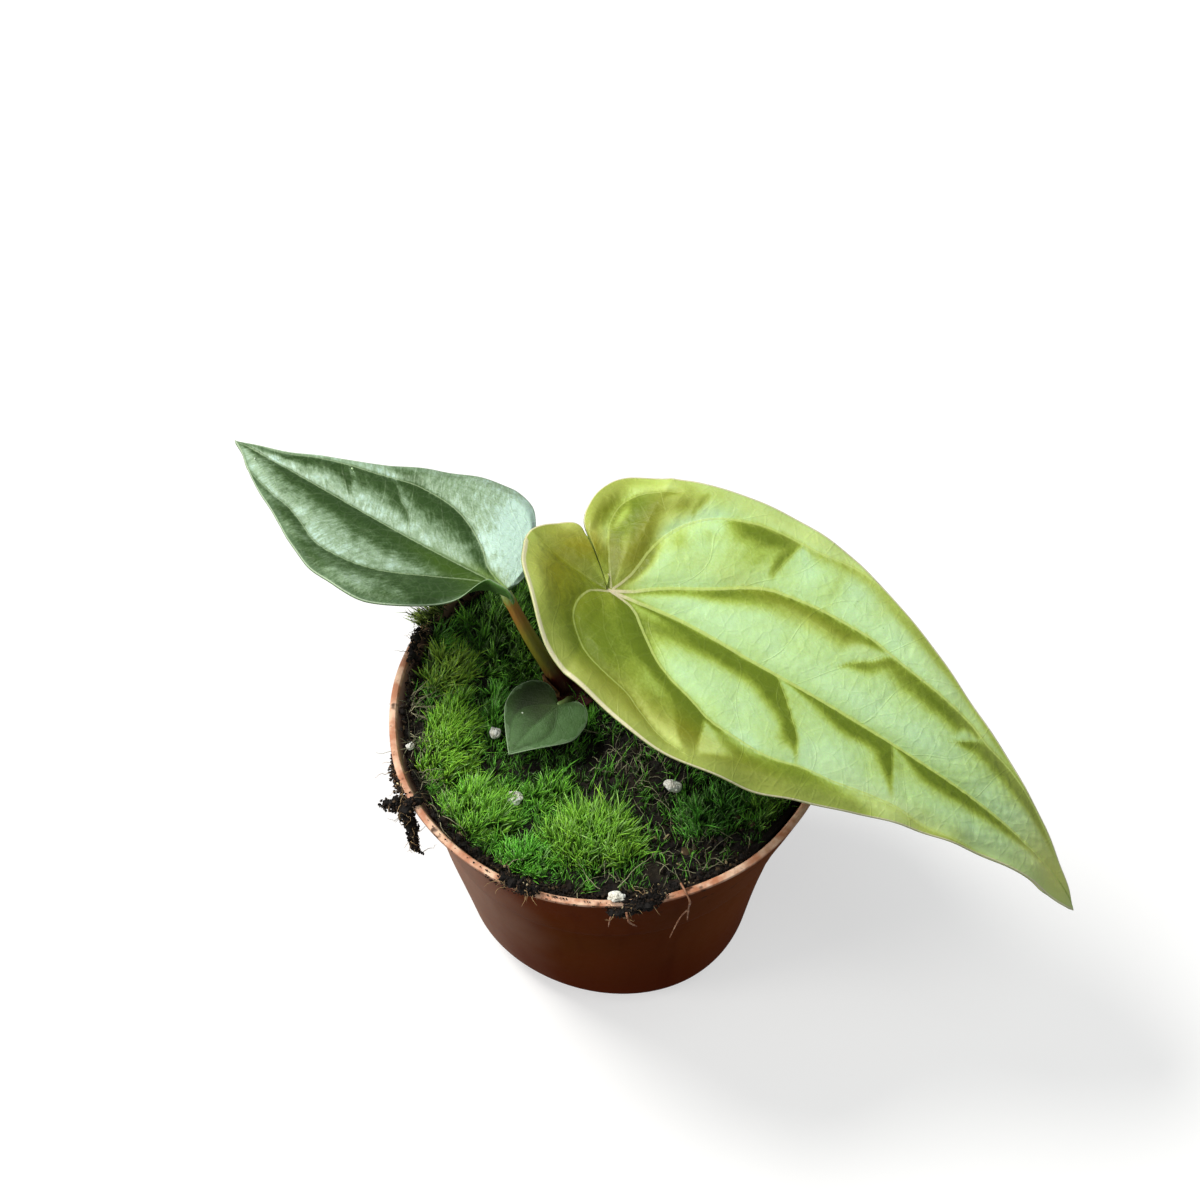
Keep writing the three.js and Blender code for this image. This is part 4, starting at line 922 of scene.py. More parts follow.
# colours from the stalk's foot, 0, to its blade, 1
skins = {
    "stalkSkin": [(0.0, "#2e0b09"), (0.2, "#561a12"), (0.36, "#6a661a"), (0.6, "#8a8624"), (0.82, "#a8742c"),
                  (0.9, "#b08434"), (0.95, "#a9bd58"), (1.0, "#cde094")],
    "smallStalkSkin": [(0.0, "#3a1a12"), (0.5, "#4f5a2a"), (1.0, "#6f8a4c")],
}
skinPaints = {name: stalkPaint(name, stops) for name, stops in skins.items()}
for name, values in stalks.items():
    makeStalk(name, values, skinPaints[values["skin"]])


def barkPaint(name, dark, pale):
    # lengthwise streaks from dark to pale, with near black spots
    paint = Paint(name)
    place = paint.place()
    streaks = paint.noise(paint.scaled(place, (1500, 1500, 300)), 1.0, 4.0, 0.65)
    spots = paint.noise(place, 900.0, 3.0)
    colour = paint.mix(paint.step(streaks, 0.35, 0.7), tint(dark), tint(pale))
    colour = paint.mix(paint.step(spots, 0.6, 0.75) * 0.5, colour, tint("#1c0b08"))
    return paint.finish({
        "Base Color": colour, "Roughness": 0.55 + spots * 0.25, "Normal": paint.bump(streaks, 0.6, 0.0003),
        "Specular IOR Level": 0.4,
    })


def repaint(node, material):
    # a CAD part that keeps its shape gets this script's material
    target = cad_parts[node]
    target.data.materials.clear()
    target.data.materials.append(material)


stemPaint = barkPaint("stemBark", "#2a0d0a", "#5c2018")
sheathPaint = barkPaint("drySheath", "#54301c", "#a5754a")
repaint("stem_and_roots", stemPaint)
repaint("sheath_large", sheathPaint)
repaint("sheath_middle", sheathPaint)
print("stalks made, stem and sheaths painted")


# Pot

pot = {
    "outside": [
        (0, 0), (15.5, 0), (17.2, 0.1), (18.1, 0.6), (18.8, 1.6), (19.9, 3.2), (21, 5), (22, 10.6),
        (23, 16), (24.4, 23.4), (25.6, 29.9), (25.75, 30.4), (26.2, 30.9), (26.45, 31.6), (28.1, 38.6),
        (29.8, 45.1),
    ],
    "lip": [(29.95, 45.5), (29.9, 45.9), (29.5, 46.05), (29.1, 45.98), (28.85, 45.6)],
    "inside": [
        (28.5, 44), (27, 38), (25.2, 31.8), (24.6, 30), (21.9, 16), (19.9, 5), (18.4, 2.9), (16.6, 1.6),
        (15, 1.4), (0, 1.4),
    ],
    "around": 200, "rowSpacing": 0.9, "sharpAngle": 38,
    "holes": 5, "holeRadius": 2.0, "holeCircle": 11.0, "holeSides": 32, "holeCut": (-2.0, 4.0),
    # how far the collar wavers, and the heights between which that sets in
    "dent": 0.16, "wavyHeights": (36, 46),
    # places pushed out or in: angle, half width, height, half height, amount
    "dents": [
        (-27, 26, 44, 9, 0.3), (180, 20, 45, 6, 0.15), (-150, 16, 31.5, 5, -0.7), (-150, 18, 45.5, 3, 0.3),
        (-143, 24, 38, 4, -1.6), (-56, 36, 0, 12, 1.6), (-122, 26, 4, 10, -0.2), (-14, 22, 34, 6, -0.6),
    ],
    # radii on the foot between which the dents fade in
    "dentFoot": (8, 15),
}


def dentAt(radius, angle, height):
    # the sum of amount exp(-(angle / half width)^2 - (height / half height)^2), faded out over the foot
    total = 0 * angle
    for turn, wide, level, tall, amount in pot["dents"]:
        apart = (np.degrees(angle) - turn + 180) % 360 - 180
        total = total + amount * np.exp(-(apart / wide) ** 2 - ((height - level) / tall) ** 2)
    return total * smoothStep(radius, *pot["dentFoot"])


def makePot(values, material):
    # the profile turned about Z: radius (cos a, sin a); towards the lip it wavers in, out, up and down as
    # sines of the angle; the drain holes are cut through its floor
    profile = values["outside"] + values["lip"] + values["inside"]
    samples = []
    for (r0, z0), (r1, z1) in zip(profile, profile[1:]):
        count = max(1, int(math.hypot(r1 - r0, z1 - z0) / values["rowSpacing"]))
        share = np.arange(count)[:, None] / count
        samples.append(np.array([[r0, z0]]) + share * np.array([[r1 - r0, z1 - z0]]))
    line = np.vstack(samples + [np.array([profile[-1]])])[1:-1]
    angle = np.linspace(0, 2 * np.pi, values["around"], endpoint=False)
    radius = line[:, :1] + 0 * angle
    height = line[:, 1:] + 0 * angle
    high = smoothStep(height, *values["wavyHeights"])
    inAndOut = 0.5 * np.sin(3 * angle + 1) + 0.3 * np.sin(7 * angle + 2.2) + 0.2 * np.sin(13 * angle + 0.4)
    upAndDown = 0.6 * np.sin(4 * angle) + 0.4 * np.sin(11 * angle + 1)
    radius = radius + values["dent"] * inAndOut * high
    height = height + 0.5 * values["dent"] * upAndDown * high
    radius = radius + dentAt(line[:, :1], angle, height)
    rings = np.stack([radius * np.cos(angle), radius * np.sin(angle), height], -1)
    points, faceSets = ringTube(rings)
    mesh = makeMesh("potShell", points, faceSets)
    piece = bpy.data.objects.new("potShell", mesh)
    scene.collection.objects.link(piece)
    cutters = []
    sides = values["holeSides"]
    ringAngle = np.linspace(0, 2 * np.pi, sides, endpoint=False)
    circle = np.stack([np.cos(ringAngle), np.sin(ringAngle)], -1)
    for k in range(values["holes"]):
        turn = math.radians(90 + 360 * k / values["holes"])
        middle = (values["holeCircle"] * math.cos(turn), values["holeCircle"] * math.sin(turn))
        ring = middle + values["holeRadius"] * circle
        pair = np.stack([np.column_stack([ring, np.full(sides, z)]) for z in values["holeCut"]])
        cutterPoints, cutterFaces = ringTube(pair)
        cutter = bpy.data.objects.new("holeCutter", makeMesh("holeCutter", cutterPoints, cutterFaces))
        scene.collection.objects.link(cutter)
        cut = piece.modifiers.new("hole", "BOOLEAN")
        cut.object = cutter
        cut.solver = "EXACT"
        cutters.append(cutter)
    bpy.context.view_layer.update()
    evaluated = piece.evaluated_get(bpy.context.evaluated_depsgraph_get())
    cutMesh = bpy.data.meshes.new_from_object(evaluated)
    for item in cutters + [piece]:
        bpy.data.objects.remove(item)
    cutMesh.name = "potShell"
    cutMesh.polygons.foreach_set("use_smooth", np.full(len(cutMesh.polygons), True))
    cutMesh.set_sharp_from_angle(angle=math.radians(values["sharpAngle"]))
    addPiece("potShell", cutMesh, material, "pot_plastic", "pot")


def potPaint():
    # dark red-brown with streaks, a painted sheen on the left, painted light glowing through the wall on the
    # right, painted shade towards the bottom, and a paler lip with pale patches that are wear and painted
    # highlights
    paint = Paint("terracottaPlastic")
    place = paint.place()
    sideways = paint.node("ShaderNodeSeparateXYZ", {}, {0: place}, 0)
    height = paint.node("ShaderNodeSeparateXYZ", {}, {0: place}, 2)
    broad = paint.noise(place, 45.0, 3.0, 0.5)
    fine = paint.noise(place, 900.0, 4.0, 0.6)
    streaks = paint.noise(paint.scaled(place, (260, 260, 24)), 1.0, 3.0, 0.55)
    colour = paint.mix(paint.step(broad, 0.3, 0.7), tint("#5c2c08"), tint("#642a06"))
    colour = paint.mix(paint.step(streaks, 0.5, 0.75) * 0.35, colour, tint("#481404"))
    # warmer on the right: painted light glowing through the wall
    colour = paint.mix(paint.step(sideways, 0.006, 0.022) * 0.6, colour, tint("#8a4408"))
    # darker towards the bottom: painted shade
    colour = paint.mix(paint.step(height, 0.022, 0.003) * 0.5, colour, tint("#4a0c04"))
    # painted sheen on the left side, where the wall catches the light
    paintedLeftSheen = paint.step(sideways + (broad - 0.5) * 0.012, -0.007, -0.021) * (0.6 + streaks * 0.5)
    colour = paint.mix(paintedLeftSheen, colour, tint("#a08070"))
    lip = paint.step(height, 0.0453, 0.0459)
    # pale patches on the lip: wear and painted highlights
    wearAndHighlight = paint.step(paint.noise(place, 320.0, 3.0, 0.6), 0.35, 0.65)
    colour = paint.mix(lip * 0.75, colour, tint("#c88868"))
    colour = paint.mix(lip * wearAndHighlight * (0.5 + broad * 0.7), colour, tint("#f4d0b4"))
    cracks = paint.step(paint.noise(paint.scaled(place, (900, 900, 200)), 1.0, 2.0, 0.5), 0.66, 0.7)
    colour = paint.mix(lip * cracks * 0.35, colour, tint("#3a1a10"))
    dirt = paint.step(paint.noise(place, 420.0, 2.0, 0.6), 0.62, 0.72) * paint.step(height, 0.034, 0.046)
    colour = paint.mix(dirt * 0.85, colour, tint("#24140d"))
    return paint.finish({
        "Base Color": colour, "Roughness": 0.46 + fine * 0.16 + streaks * 0.1,
        "Normal": paint.bump(fine * 0.5 + streaks * 0.5, 0.18, 0.0002),
        "Specular IOR Level": 0.01, "Subsurface Weight": 0.05, "Subsurface Radius": (1.0, 0.35, 0.12),
        "Subsurface Scale": 0.001,
    })


makePot(pot, potPaint())


# Potting mix

soil = {
    "level": 43.7, "crown": 0.6, "wave": 0.3, "waveLength": 15.0, "rim": 30.0, "edge": 28.05,
    "rings": 110, "around": 210, "crumb": 0.34,
    # the block below the top, inside the pot's wall: radius, height
    "block": [
        (27.2, 39.5), (26.7, 38), (25.8, 35), (24.6, 31.5), (24.0, 29.5), (21.3, 16), (19.4, 5),
        (17.5, 3.2), (16, 1.75), (8, 1.75),
    ],
}


def soilHeight(x, y):
    # a low crown, level + crown (1 - r r / rim rim), with slow waves on it
    share = 1 - (x ** 2 + y ** 2) / soil["rim"] ** 2
    turn = 2 * np.pi / soil["waveLength"]
    wave = np.sin(turn * x + 0.6) * np.cos(turn * y) + 0.5 * np.sin(turn * (y - x))
    return soil["level"] + soil["crown"] * share + soil["wave"] * wave


def makeMix(values, material):
    # a crumbly top, the slow height plus three sizes of ripple, over a plain block that follows the dents
    share = np.linspace(0.004, 1, values["rings"]) ** 0.8
    angle = np.linspace(0, 2 * np.pi, values["around"], endpoint=False)
    radius = values["edge"] * share[:, None]
    x, y = radius * np.cos(angle), radius * np.sin(angle)
    flat = np.column_stack([x.ravel(), y.ravel()])
    big, middling, small = ripple(flat, 3.4, 31), ripple(flat, 1.5, 32), ripple(flat, 0.8, 33)
    crumbs = np.abs(big) * 0.5 + np.abs(middling) * 0.4 + 0.25 * small
    z = soilHeight(x, y) + values["crumb"] * (crumbs.reshape(x.shape) - 0.5)
    rings = [np.stack([x, y, z], -1)]
    for r, height in values["block"]:
        r = r + np.minimum(0, dentAt(r, angle, height))
        ring = np.stack([r * np.cos(angle), r * np.sin(angle), np.full(len(angle), height)], -1)
        rings.append(ring[None])
    points, faceSets = ringTube(np.vstack(rings))
    height = np.zeros(len(points))
    height[:len(flat)] = crumbs
    mesh = makeMesh("pottingMix", points, faceSets, {"crumb": height})
    addPiece("pottingMix", mesh, material, "potting_mix", "potting_mix")


def mixPaint():
    # nearly black to brown by fine grit, greener in places
    paint = Paint("mixCrumbs")
    place = paint.place()
    grit = paint.noise(place, 1500.0, 4.0, 0.65)
    lumps = paint.cells(place, 1100.0)
    hue = paint.noise(place, 260.0, 2.0)
    colour = paint.ramp(grit, (0.3, tint("#070504")), (0.55, tint("#150e09")), (0.8, tint("#33241a")))
    colour = paint.mix(paint.step(hue, 0.55, 0.7) * 0.4, colour, tint("#2b2412"))
    return paint.finish({
        "Base Color": colour, "Roughness": 0.75 + grit * 0.2, "Normal": paint.bump(grit + lumps, 0.8, 0.0004),
        "Specular IOR Level": 0.35,
    })


makeMix(soil, mixPaint())


# Moss

def strandMesh(name, root, towards, length, width, bend, colours, levels=(0, 0.4, 0.75)):
    # tapering blades: root + length (towards t + bend t t), with a flat three-cornered ring of width
    # (1 - t) ** 0.45 round it at each level and a point at its end
    sides = 3
    count = len(root)
    draw = np.random.default_rng(count)
    towards = towards / np.linalg.norm(towards, axis=1, keepdims=True)
    across = np.cross(towards, draw.normal(size=(count, 3)))
    across /= np.linalg.norm(across, axis=1, keepdims=True)
    other = np.cross(towards, across)
    layers = []
    for t in levels:
        middle = root + length[:, None] * (towards * t + bend * t * t)
        size = (width * (1 - t) ** 0.45)[:, None]
        for k in range(sides):
            a = 2 * np.pi * k / sides
            layers.append(middle + size * (math.cos(a) * across + 0.6 * math.sin(a) * other))
    layers.append(root + length[:, None] * (towards + bend))
    perStrand = len(layers)
    points = np.stack(layers, 1).reshape(-1, 3)
    quads, tris = [], []
    for level in range(len(levels) - 1):
        for k in range(sides):
            a, b = level * sides + k, level * sides + (k + 1) % sides
            quads.append((a, b, b + sides, a + sides))
    last = (len(levels) - 1) * sides
    for k in range(sides):
        tris.append((last + k, last + (k + 1) % sides, perStrand - 1))
    tris.append(tuple(range(sides))[::-1])
    offset = np.arange(count)[:, None, None] * perStrand
    faceSets = [
        (np.array(quads)[None] + offset).reshape(-1, 4), (np.array(tris)[None] + offset).reshape(-1, 3),
    ]
    share = np.concatenate([np.repeat(levels, sides), [1]])
    low, high = colours
    # each shoot darkens from tip to foot: the moss's own darker stems and painted shade down among the shoots
    shade = low[:, None] + (high - low)[:, None] * (share[None, :, None] ** 1.3)
    return makeMesh(name, points, outward(points, faceSets), {"shade": shade.reshape(-1, 3)})


def shadeMaterial(name, roughness, specular):
    # the piece's own colours, made uneven by fine noise
    paint = Paint(name)
    grain = paint.noise(paint.place(), 2500.0, 2.0)
    shade = paint.attribute("shade", "Color")
    dull = paint.step(grain, 0.35, 0.7) * 0.3
    colour = paint.mix(dull, shade, paint.mix(1.0, shade, (0.55, 0.6, 0.4, 1), "MULTIPLY"))
    return paint.finish({
        "Base Color": colour, "Roughness": roughness, "Specular IOR Level": specular,
        "Normal": paint.bump(grain, 0.3, 0.0001),
    })


mossMaterial = shadeMaterial("mossShoots", 0.4, 0.45)

# millimetres and degrees; the density is in shoots to a square millimetre, foot and tip are tones; the tip
# tones differ by cushion as painted light and shade, brighter in the open and darker under the leaves
cushionKeys = ("x", "y", "rx", "ry", "turn", "height", "leanX", "leanY", "reach", "density", "foot", "tip")
cushions = {
    "moss_left": (-21.6, -4.3, 3.4, 7.6, -4, 3.0, 0.5, 0.4, 2.1, 30, "#0a2404", "#a4ea44"),
    "moss_front_left": (-17.2, -15.6, 5, 3.8, -40, 2.8, 0.35, 0.5, 2.2, 28, "#0a2204", "#96e448"),
    "moss_lower_left": (-10.9, -22.2, 3.8, 2.3, -26, 2.2, 0.3, 0.3, 1.9, 26, "#0a2204", "#78d444"),
    "moss_front": (-2.2, -19.8, 6.2, 3.9, 0, 3.6, 0.15, 0.5, 2.7, 28, "#0c2804", "#aaf650"),
    "moss_middle": (-8.2, -13, 3.6, 2.2, 6, 2.0, 0.3, 0.5, 2.1, 25, "#0a2404", "#74bc38"),
    "moss_inner_left": (-16.2, 0.4, 1.9, 3.8, -6, 2.2, 0.4, 0.5, 2.0, 25, "#0a2004", "#68b43c"),
    "moss_right": (13.6, -15.4, 5, 3.3, 30, 2.2, 0.1, 0.5, 2.1, 21, "#081c04", "#447e28"),
    "moss_far_right": (20.2, -14.6, 1.8, 2.8, -38, 2.2, 0.1, 0.5, 2.2, 23, "#0c2405", "#8ac848"),
    "moss_back_left": (-13.4, 13.6, 7, 7.6, 8, 2.8, 0.3, 0.4, 2.3, 18, "#0a2204", "#649c34"),
    "moss_upper_left": (-22.6, 7.8, 3.2, 4.4, 0, 2.4, 0.35, 0.4, 2.2, 24, "#1a340a", "#c8fa5c"),
    "moss_back": (-3.4, 24.8, 5.6, 3.6, 0, 3.4, -0.1, 0.3, 4.2, 20, "#3c480c", "#d6e454"),
    "moss_back_right": (13.4, 14, 7, 5.4, -40, 2.6, 0, 0.3, 2.4, 11, "#0f2606", "#569030"),
}
tufts = {
    "shoots": 6, "spread": 0.24, "splay": 0.16, "patchSize": 2.4, "leanSize": 3.4, "thin": 0.7, "width": 0.13,
    # the cushions reach a little past their ellipses, but not past the pot's wall
    "outermost": 1.08, "wall": 27.7, "overhang": 0.8,
    # the shoots' feet stand on this share of the dome, sunk into it
    "domeShare": 0.75, "sunk": 0.8,
    # a few shoots have paler tips: painted glints
    "glintShare": 0.17, "glintTone": "#ccf4a8",
}
patchLimit = 1.6  # bounds on the ripple that makes moss longer and paler in patches
# hollows where the moss is short and darkened by painted shade: x, y, half width, amount
shadedHollows = [
    (-18.6, 1, 1.8, 0.8), (-18.2, -4.5, 1.7, 0.8), (-16.4, -9.4, 1.9, 0.7), (-21, 12.5, 1.5, 0.7),
    (-10.5, -9.6, 2.2, 0.8), (-5, -13.6, 1.8, 0.7), (-12.4, -18.4, 1.4, 0.7), (-8, 8, 3, 0.5),
    (-13, 4.5, 1.6, 0.6), (2.5, -14, 2, 0.7), (-21.4, -11.4, 1.3, 0.6), (8, -13.5, 1.6, 0.6),
    (-3.6, -8.5, 2.4, 0.9), (-0.8, -13, 2.2, 0.95), (2.8, -9.5, 2.2, 0.8), (3.6, -16.6, 1.8, 0.7),
    (-15.4, 11, 3, 0.5), (-19.6, 12.6, 2.2, 0.5), (16, -20, 3, 0.5),
]


def dimness(x, y):
    # the deepest hollow at each place, amount exp(-(distance / half width)^2)
    depth = np.zeros(len(x))
    for hollowX, hollowY, size, amount in shadedHollows:
        depth = np.maximum(depth, amount * np.exp(-((x - hollowX) ** 2 + (y - hollowY) ** 2) / size ** 2))
    return depth


def bounded(colours):
    # a colour over full strength is divided by its largest part, so it keeps its hue
    return colours / np.maximum(1, colours.max(axis=1, keepdims=True))


def colourPair(draw, tones, count, spread):
    # foot and tip colour of each shoot, brighter or darker and yellower or greener at random
    low, high = (np.array(tint(code)[:3]) for code in tones)
    light = np.exp(draw.normal(0, spread, (count, 1)))
    hue = draw.normal(0.04, 0.08, (count, 1)) * np.array([[1.0, 0.2, -0.4]])
    return low * light, bounded(high * light * (1 + hue))


def makeCushion(node, values):
    # a dome, height sqrt(1 - s s) over an uneven ellipse, set with tufts; the shoots of a tuft share its
    # lean, length and light, and splay out from its middle; in the hollows they are shorter and fewer, and
    # darker by painted shade
    draw = np.random.default_rng(int(1000 + 10 * values["rx"] + abs(values["x"]) * 7))
    turn = math.radians(values["turn"])
    count = int(math.pi * values["rx"] * values["ry"] * values["density"] / tufts["shoots"])
    share = np.sqrt(draw.uniform(0, 1, count)) * tufts["outermost"]
    angle = draw.uniform(0, 2 * np.pi, count)
    swell = 1 + 0.07 * np.sin(3 * angle + values["x"]) + 0.05 * np.sin(5 * angle + values["y"])
    along = values["rx"] * share * swell * np.cos(angle)
    across = values["ry"] * share * swell * np.sin(angle)
    x = values["x"] + along * math.cos(turn) - across * math.sin(turn)
    y = values["y"] + along * math.sin(turn) + across * math.cos(turn)
    flat = np.column_stack([x, y])
    dome = np.sqrt(np.clip(1 - share ** 2, 0, 1))
    patch = np.clip(ripple(flat, tufts["patchSize"], 71), -patchLimit, patchLimit)
    reach = values["reach"] * np.exp(draw.normal(0, 0.16, count) + 0.2 * patch) * (0.65 + 0.35 * dome)
    rise = np.clip(values["height"] * dome * tufts["domeShare"] - tufts["sunk"], -0.3, None)
    foot = soilHeight(x, y) + rise + 0.3 * patch
    swayX = 0.22 * ripple(flat, tufts["leanSize"], 72)
    swayY = 0.18 * ripple(flat, tufts["leanSize"], 73)
    lean = np.column_stack([
        values["leanX"] + 0.12 * share * np.cos(angle + turn) + swayX + draw.normal(0, 0.14, count),
        values["leanY"] + 0.12 * share * np.sin(angle + turn) + swayY + draw.normal(0, 0.12, count),
    ])
    low, high = colourPair(draw, (values["foot"], values["tip"]), count, 0.3)
    dim = dimness(x, y)
    # tips darker in the hollows: painted shade
    high = bounded(high * (1 - dim)[:, None] * np.exp(0.25 + 0.65 * patch[:, None]))
    reach = reach * (1 - 0.5 * dim)
    many = tufts["shoots"]
    shoots = count * many
    offset = draw.normal(0, 1, (shoots, 2))
    root = np.column_stack([np.repeat(flat, many, axis=0) + tufts["spread"] * offset, np.repeat(foot, many)])
    far = np.hypot(root[:, 0], root[:, 1])
    root[:, :2] *= np.minimum(1, tufts["wall"] / far)[:, None]
    towards = np.column_stack([
        np.repeat(lean, many, axis=0) + tufts["splay"] * offset + draw.normal(0, 0.1, (shoots, 2)),
        np.ones(shoots),
    ])
    reach = np.repeat(reach, many) * np.exp(draw.normal(0, 0.18, shoots))
    bend = np.column_stack([draw.normal(0, 0.1, (shoots, 2)) + 0.15 * offset, np.full(shoots, -0.1)])
    width = tufts["width"] * np.exp(draw.normal(0, 0.2, shoots))
    light = np.exp(draw.normal(0, 0.22, (shoots, 1)))
    glintTip = draw.uniform(0, 1, (shoots, 1)) < tufts["glintShare"]
    low, high = np.repeat(low, many, axis=0), bounded(np.repeat(high, many, axis=0) * light)
    ends = root + reach[:, None] * (towards / np.linalg.norm(towards, axis=1, keepdims=True) + bend)
    # paler tips on a few shoots: painted glints
    high = np.where(glintTip, 0.5 * high + 0.5 * np.array(tint(tufts["glintTone"])[:3]), high)
    kept = np.hypot(ends[:, 0], ends[:, 1]) < tufts["wall"] + tufts["overhang"]
    kept &= draw.uniform(0, 1, shoots) > tufts["thin"] * np.repeat(dim, many)
    root, towards, reach, width, bend = root[kept], towards[kept], reach[kept], width[kept], bend[kept]
    mesh = strandMesh(node + "_shoots", root, towards, reach, width, bend, (low[kept], high[kept]))
    addPiece(node + "_shoots", mesh, mossMaterial, "moss", node)


for node, row in cushions.items():
    makeCushion(node, dict(zip(cushionKeys, row)))
print("moss cushions made")

carpet = {
    "count": 27000, "edge": 27.4, "reach": 1.8, "width": 0.115, "tones": ("#0a1e04", "#68b438"),
    # how deep the shoots stand in the mix, and the radius past which they lean away from the wall
    "sunk": 0.15, "nearWall": 25,
    # bare places: x, y, half width
    "bare": [
        (1.5, -6, 4.4), (6.5, -9.5, 3.8), (9, -21.8, 4.6), (15.5, -20.5, 3.2), (0, -26.8, 2.2),
        (6, -25, 3.2), (-27.2, 2, 1.8), (-27, -3, 2.0), (-26, -9, 1.6), (-4.5, 4, 2.6), (22, -9, 2.4),
        (-24.5, 3.6, 1.2), (5, -16.5, 1.6), (-19, -9.6, 1.0), (-13.4, -8, 1.2), (-2.5, -11.4, 2.6),
        (3, -14.5, 2.2),
    ],
    # moss that climbs the wall: x, y, half width, rise
    "hills": [(-24, 12, 2.6, 2.6), (-3, 27, 3, 2.0)],
    # moss that hangs over the rim: middle, size, number, reach
    "hanging": [((-25.4, 14.8, 46.2), 1.0, 150, 2.4), ((-24.2, 16.6, 46.3), 1.0, 110, 2.2)],
    "hangingTone": "#b6d85a", "outward": 0.9, "droop": -0.35,
}


def hangingShoots(draw, values, middle, size, count, reach):
    # shoots round a place on the rim that point away from the pot's axis and droop as they go
    out = np.array(middle[:2]) / np.hypot(*middle[:2])
    root = np.array(middle) + size * draw.normal(0, (0.6, 0.6, 0.12), (count, 3))
    sideways = out * values["outward"] + draw.normal(0, 0.35, (count, 2))
    towards = np.column_stack([sideways, draw.uniform(-0.1, 0.7, count)])
    lengths = reach * np.exp(draw.normal(0, 0.2, count))
    bend = np.column_stack([draw.normal(0, 0.2, (count, 2)), np.full(count, values["droop"])])
    low, high = colourPair(draw, (values["tones"][0], values["hangingTone"]), count, 0.3)
    return root, towards, lengths, bend, low, high


def strewn(draw, values):
    # places spread evenly over the disc within the edge: radius edge sqrt(chance), any angle
    radius = values["edge"] * np.sqrt(draw.uniform(0, 1, values["count"]))
    angle = draw.uniform(0, 2 * np.pi, values["count"])
    return radius * np.cos(angle), radius * np.sin(angle)


def makeCarpet(values):
    # thinner moss between the cushions, in two halves, left and right: its chance of standing at a place is
    # less by 0.9 exp(-(distance / half width)^2) at each bare place
    draw = np.random.default_rng(81)
    x, y = strewn(draw, values)
    keep = np.ones(len(x))
    for bareX, bareY, size in values["bare"]:
        keep *= 1 - 0.9 * np.exp(-((x - bareX) ** 2 + (y - bareY) ** 2) / size ** 2)
    keep *= smoothStep(ripple(np.column_stack([x, y]), 6.0, 82), -1.2, 0.6) * 0.7 + 0.3
    chosen = draw.uniform(0, 1, len(x)) < keep
    x, y = x[chosen], y[chosen]
    for name, side in (("mossCarpetLeft", x < 0), ("mossCarpetRight", x >= 0)):
        flat = np.column_stack([x[side], y[side]])
        count = len(flat)
        nearWall = np.hypot(flat[:, 0], flat[:, 1]) > values["nearWall"]
        root = np.column_stack([flat, soilHeight(flat[:, 0], flat[:, 1]) - values["sunk"]])
        leanX = 0.2 - 0.3 * nearWall * flat[:, 0] / 27 + 0.35 * ripple(flat, 3.6, 83)
        leanY = 0.42 - 0.3 * nearWall * flat[:, 1] / 27 + 0.3 * ripple(flat, 3.6, 84)
        towards = np.column_stack([
            leanX + draw.normal(0, 0.2, count), leanY + draw.normal(0, 0.18, count), np.ones(count),
        ])
        patch = np.clip(ripple(flat, 3.0, 85), -patchLimit, patchLimit)
        reach = values["reach"] * np.exp(draw.normal(0, 0.25, count)) * (1 + 0.24 * patch)
        bend = np.column_stack([draw.normal(0, 0.25, (count, 2)), np.full(count, -0.15)])
        low, high = colourPair(draw, values["tones"], count, 0.35)
        dim = dimness(flat[:, 0], flat[:, 1])
        # darker in the hollows: painted shade
        high = bounded(high * (1 - dim)[:, None] * np.exp(0.6 * patch[:, None]))
        for hillX, hillY, size, rise in values["hills"]:
            hill = rise * np.exp(-((flat[:, 0] - hillX) ** 2 + (flat[:, 1] - hillY) ** 2) / size ** 2)
            root[:, 2] += hill
            reach = reach * (1 + 0.3 * hill)
        shoots = [(root, towards, reach, bend, low, high)]
        if name == "mossCarpetLeft":
            shoots += [hangingShoots(draw, values, *place) for place in values["hanging"]]
        root, towards, reach, bend, low, high = (np.concatenate(parts) for parts in zip(*shoots))
        width = values["width"] * np.exp(draw.normal(0, 0.15, len(root)))
        mesh = strandMesh(name, root, towards, reach, width, bend, (low, high), levels=(0, 0.5))
        addPiece(name, mesh, mossMaterial, "moss")


makeCarpet(carpet)


# Loose crumbs and fibres

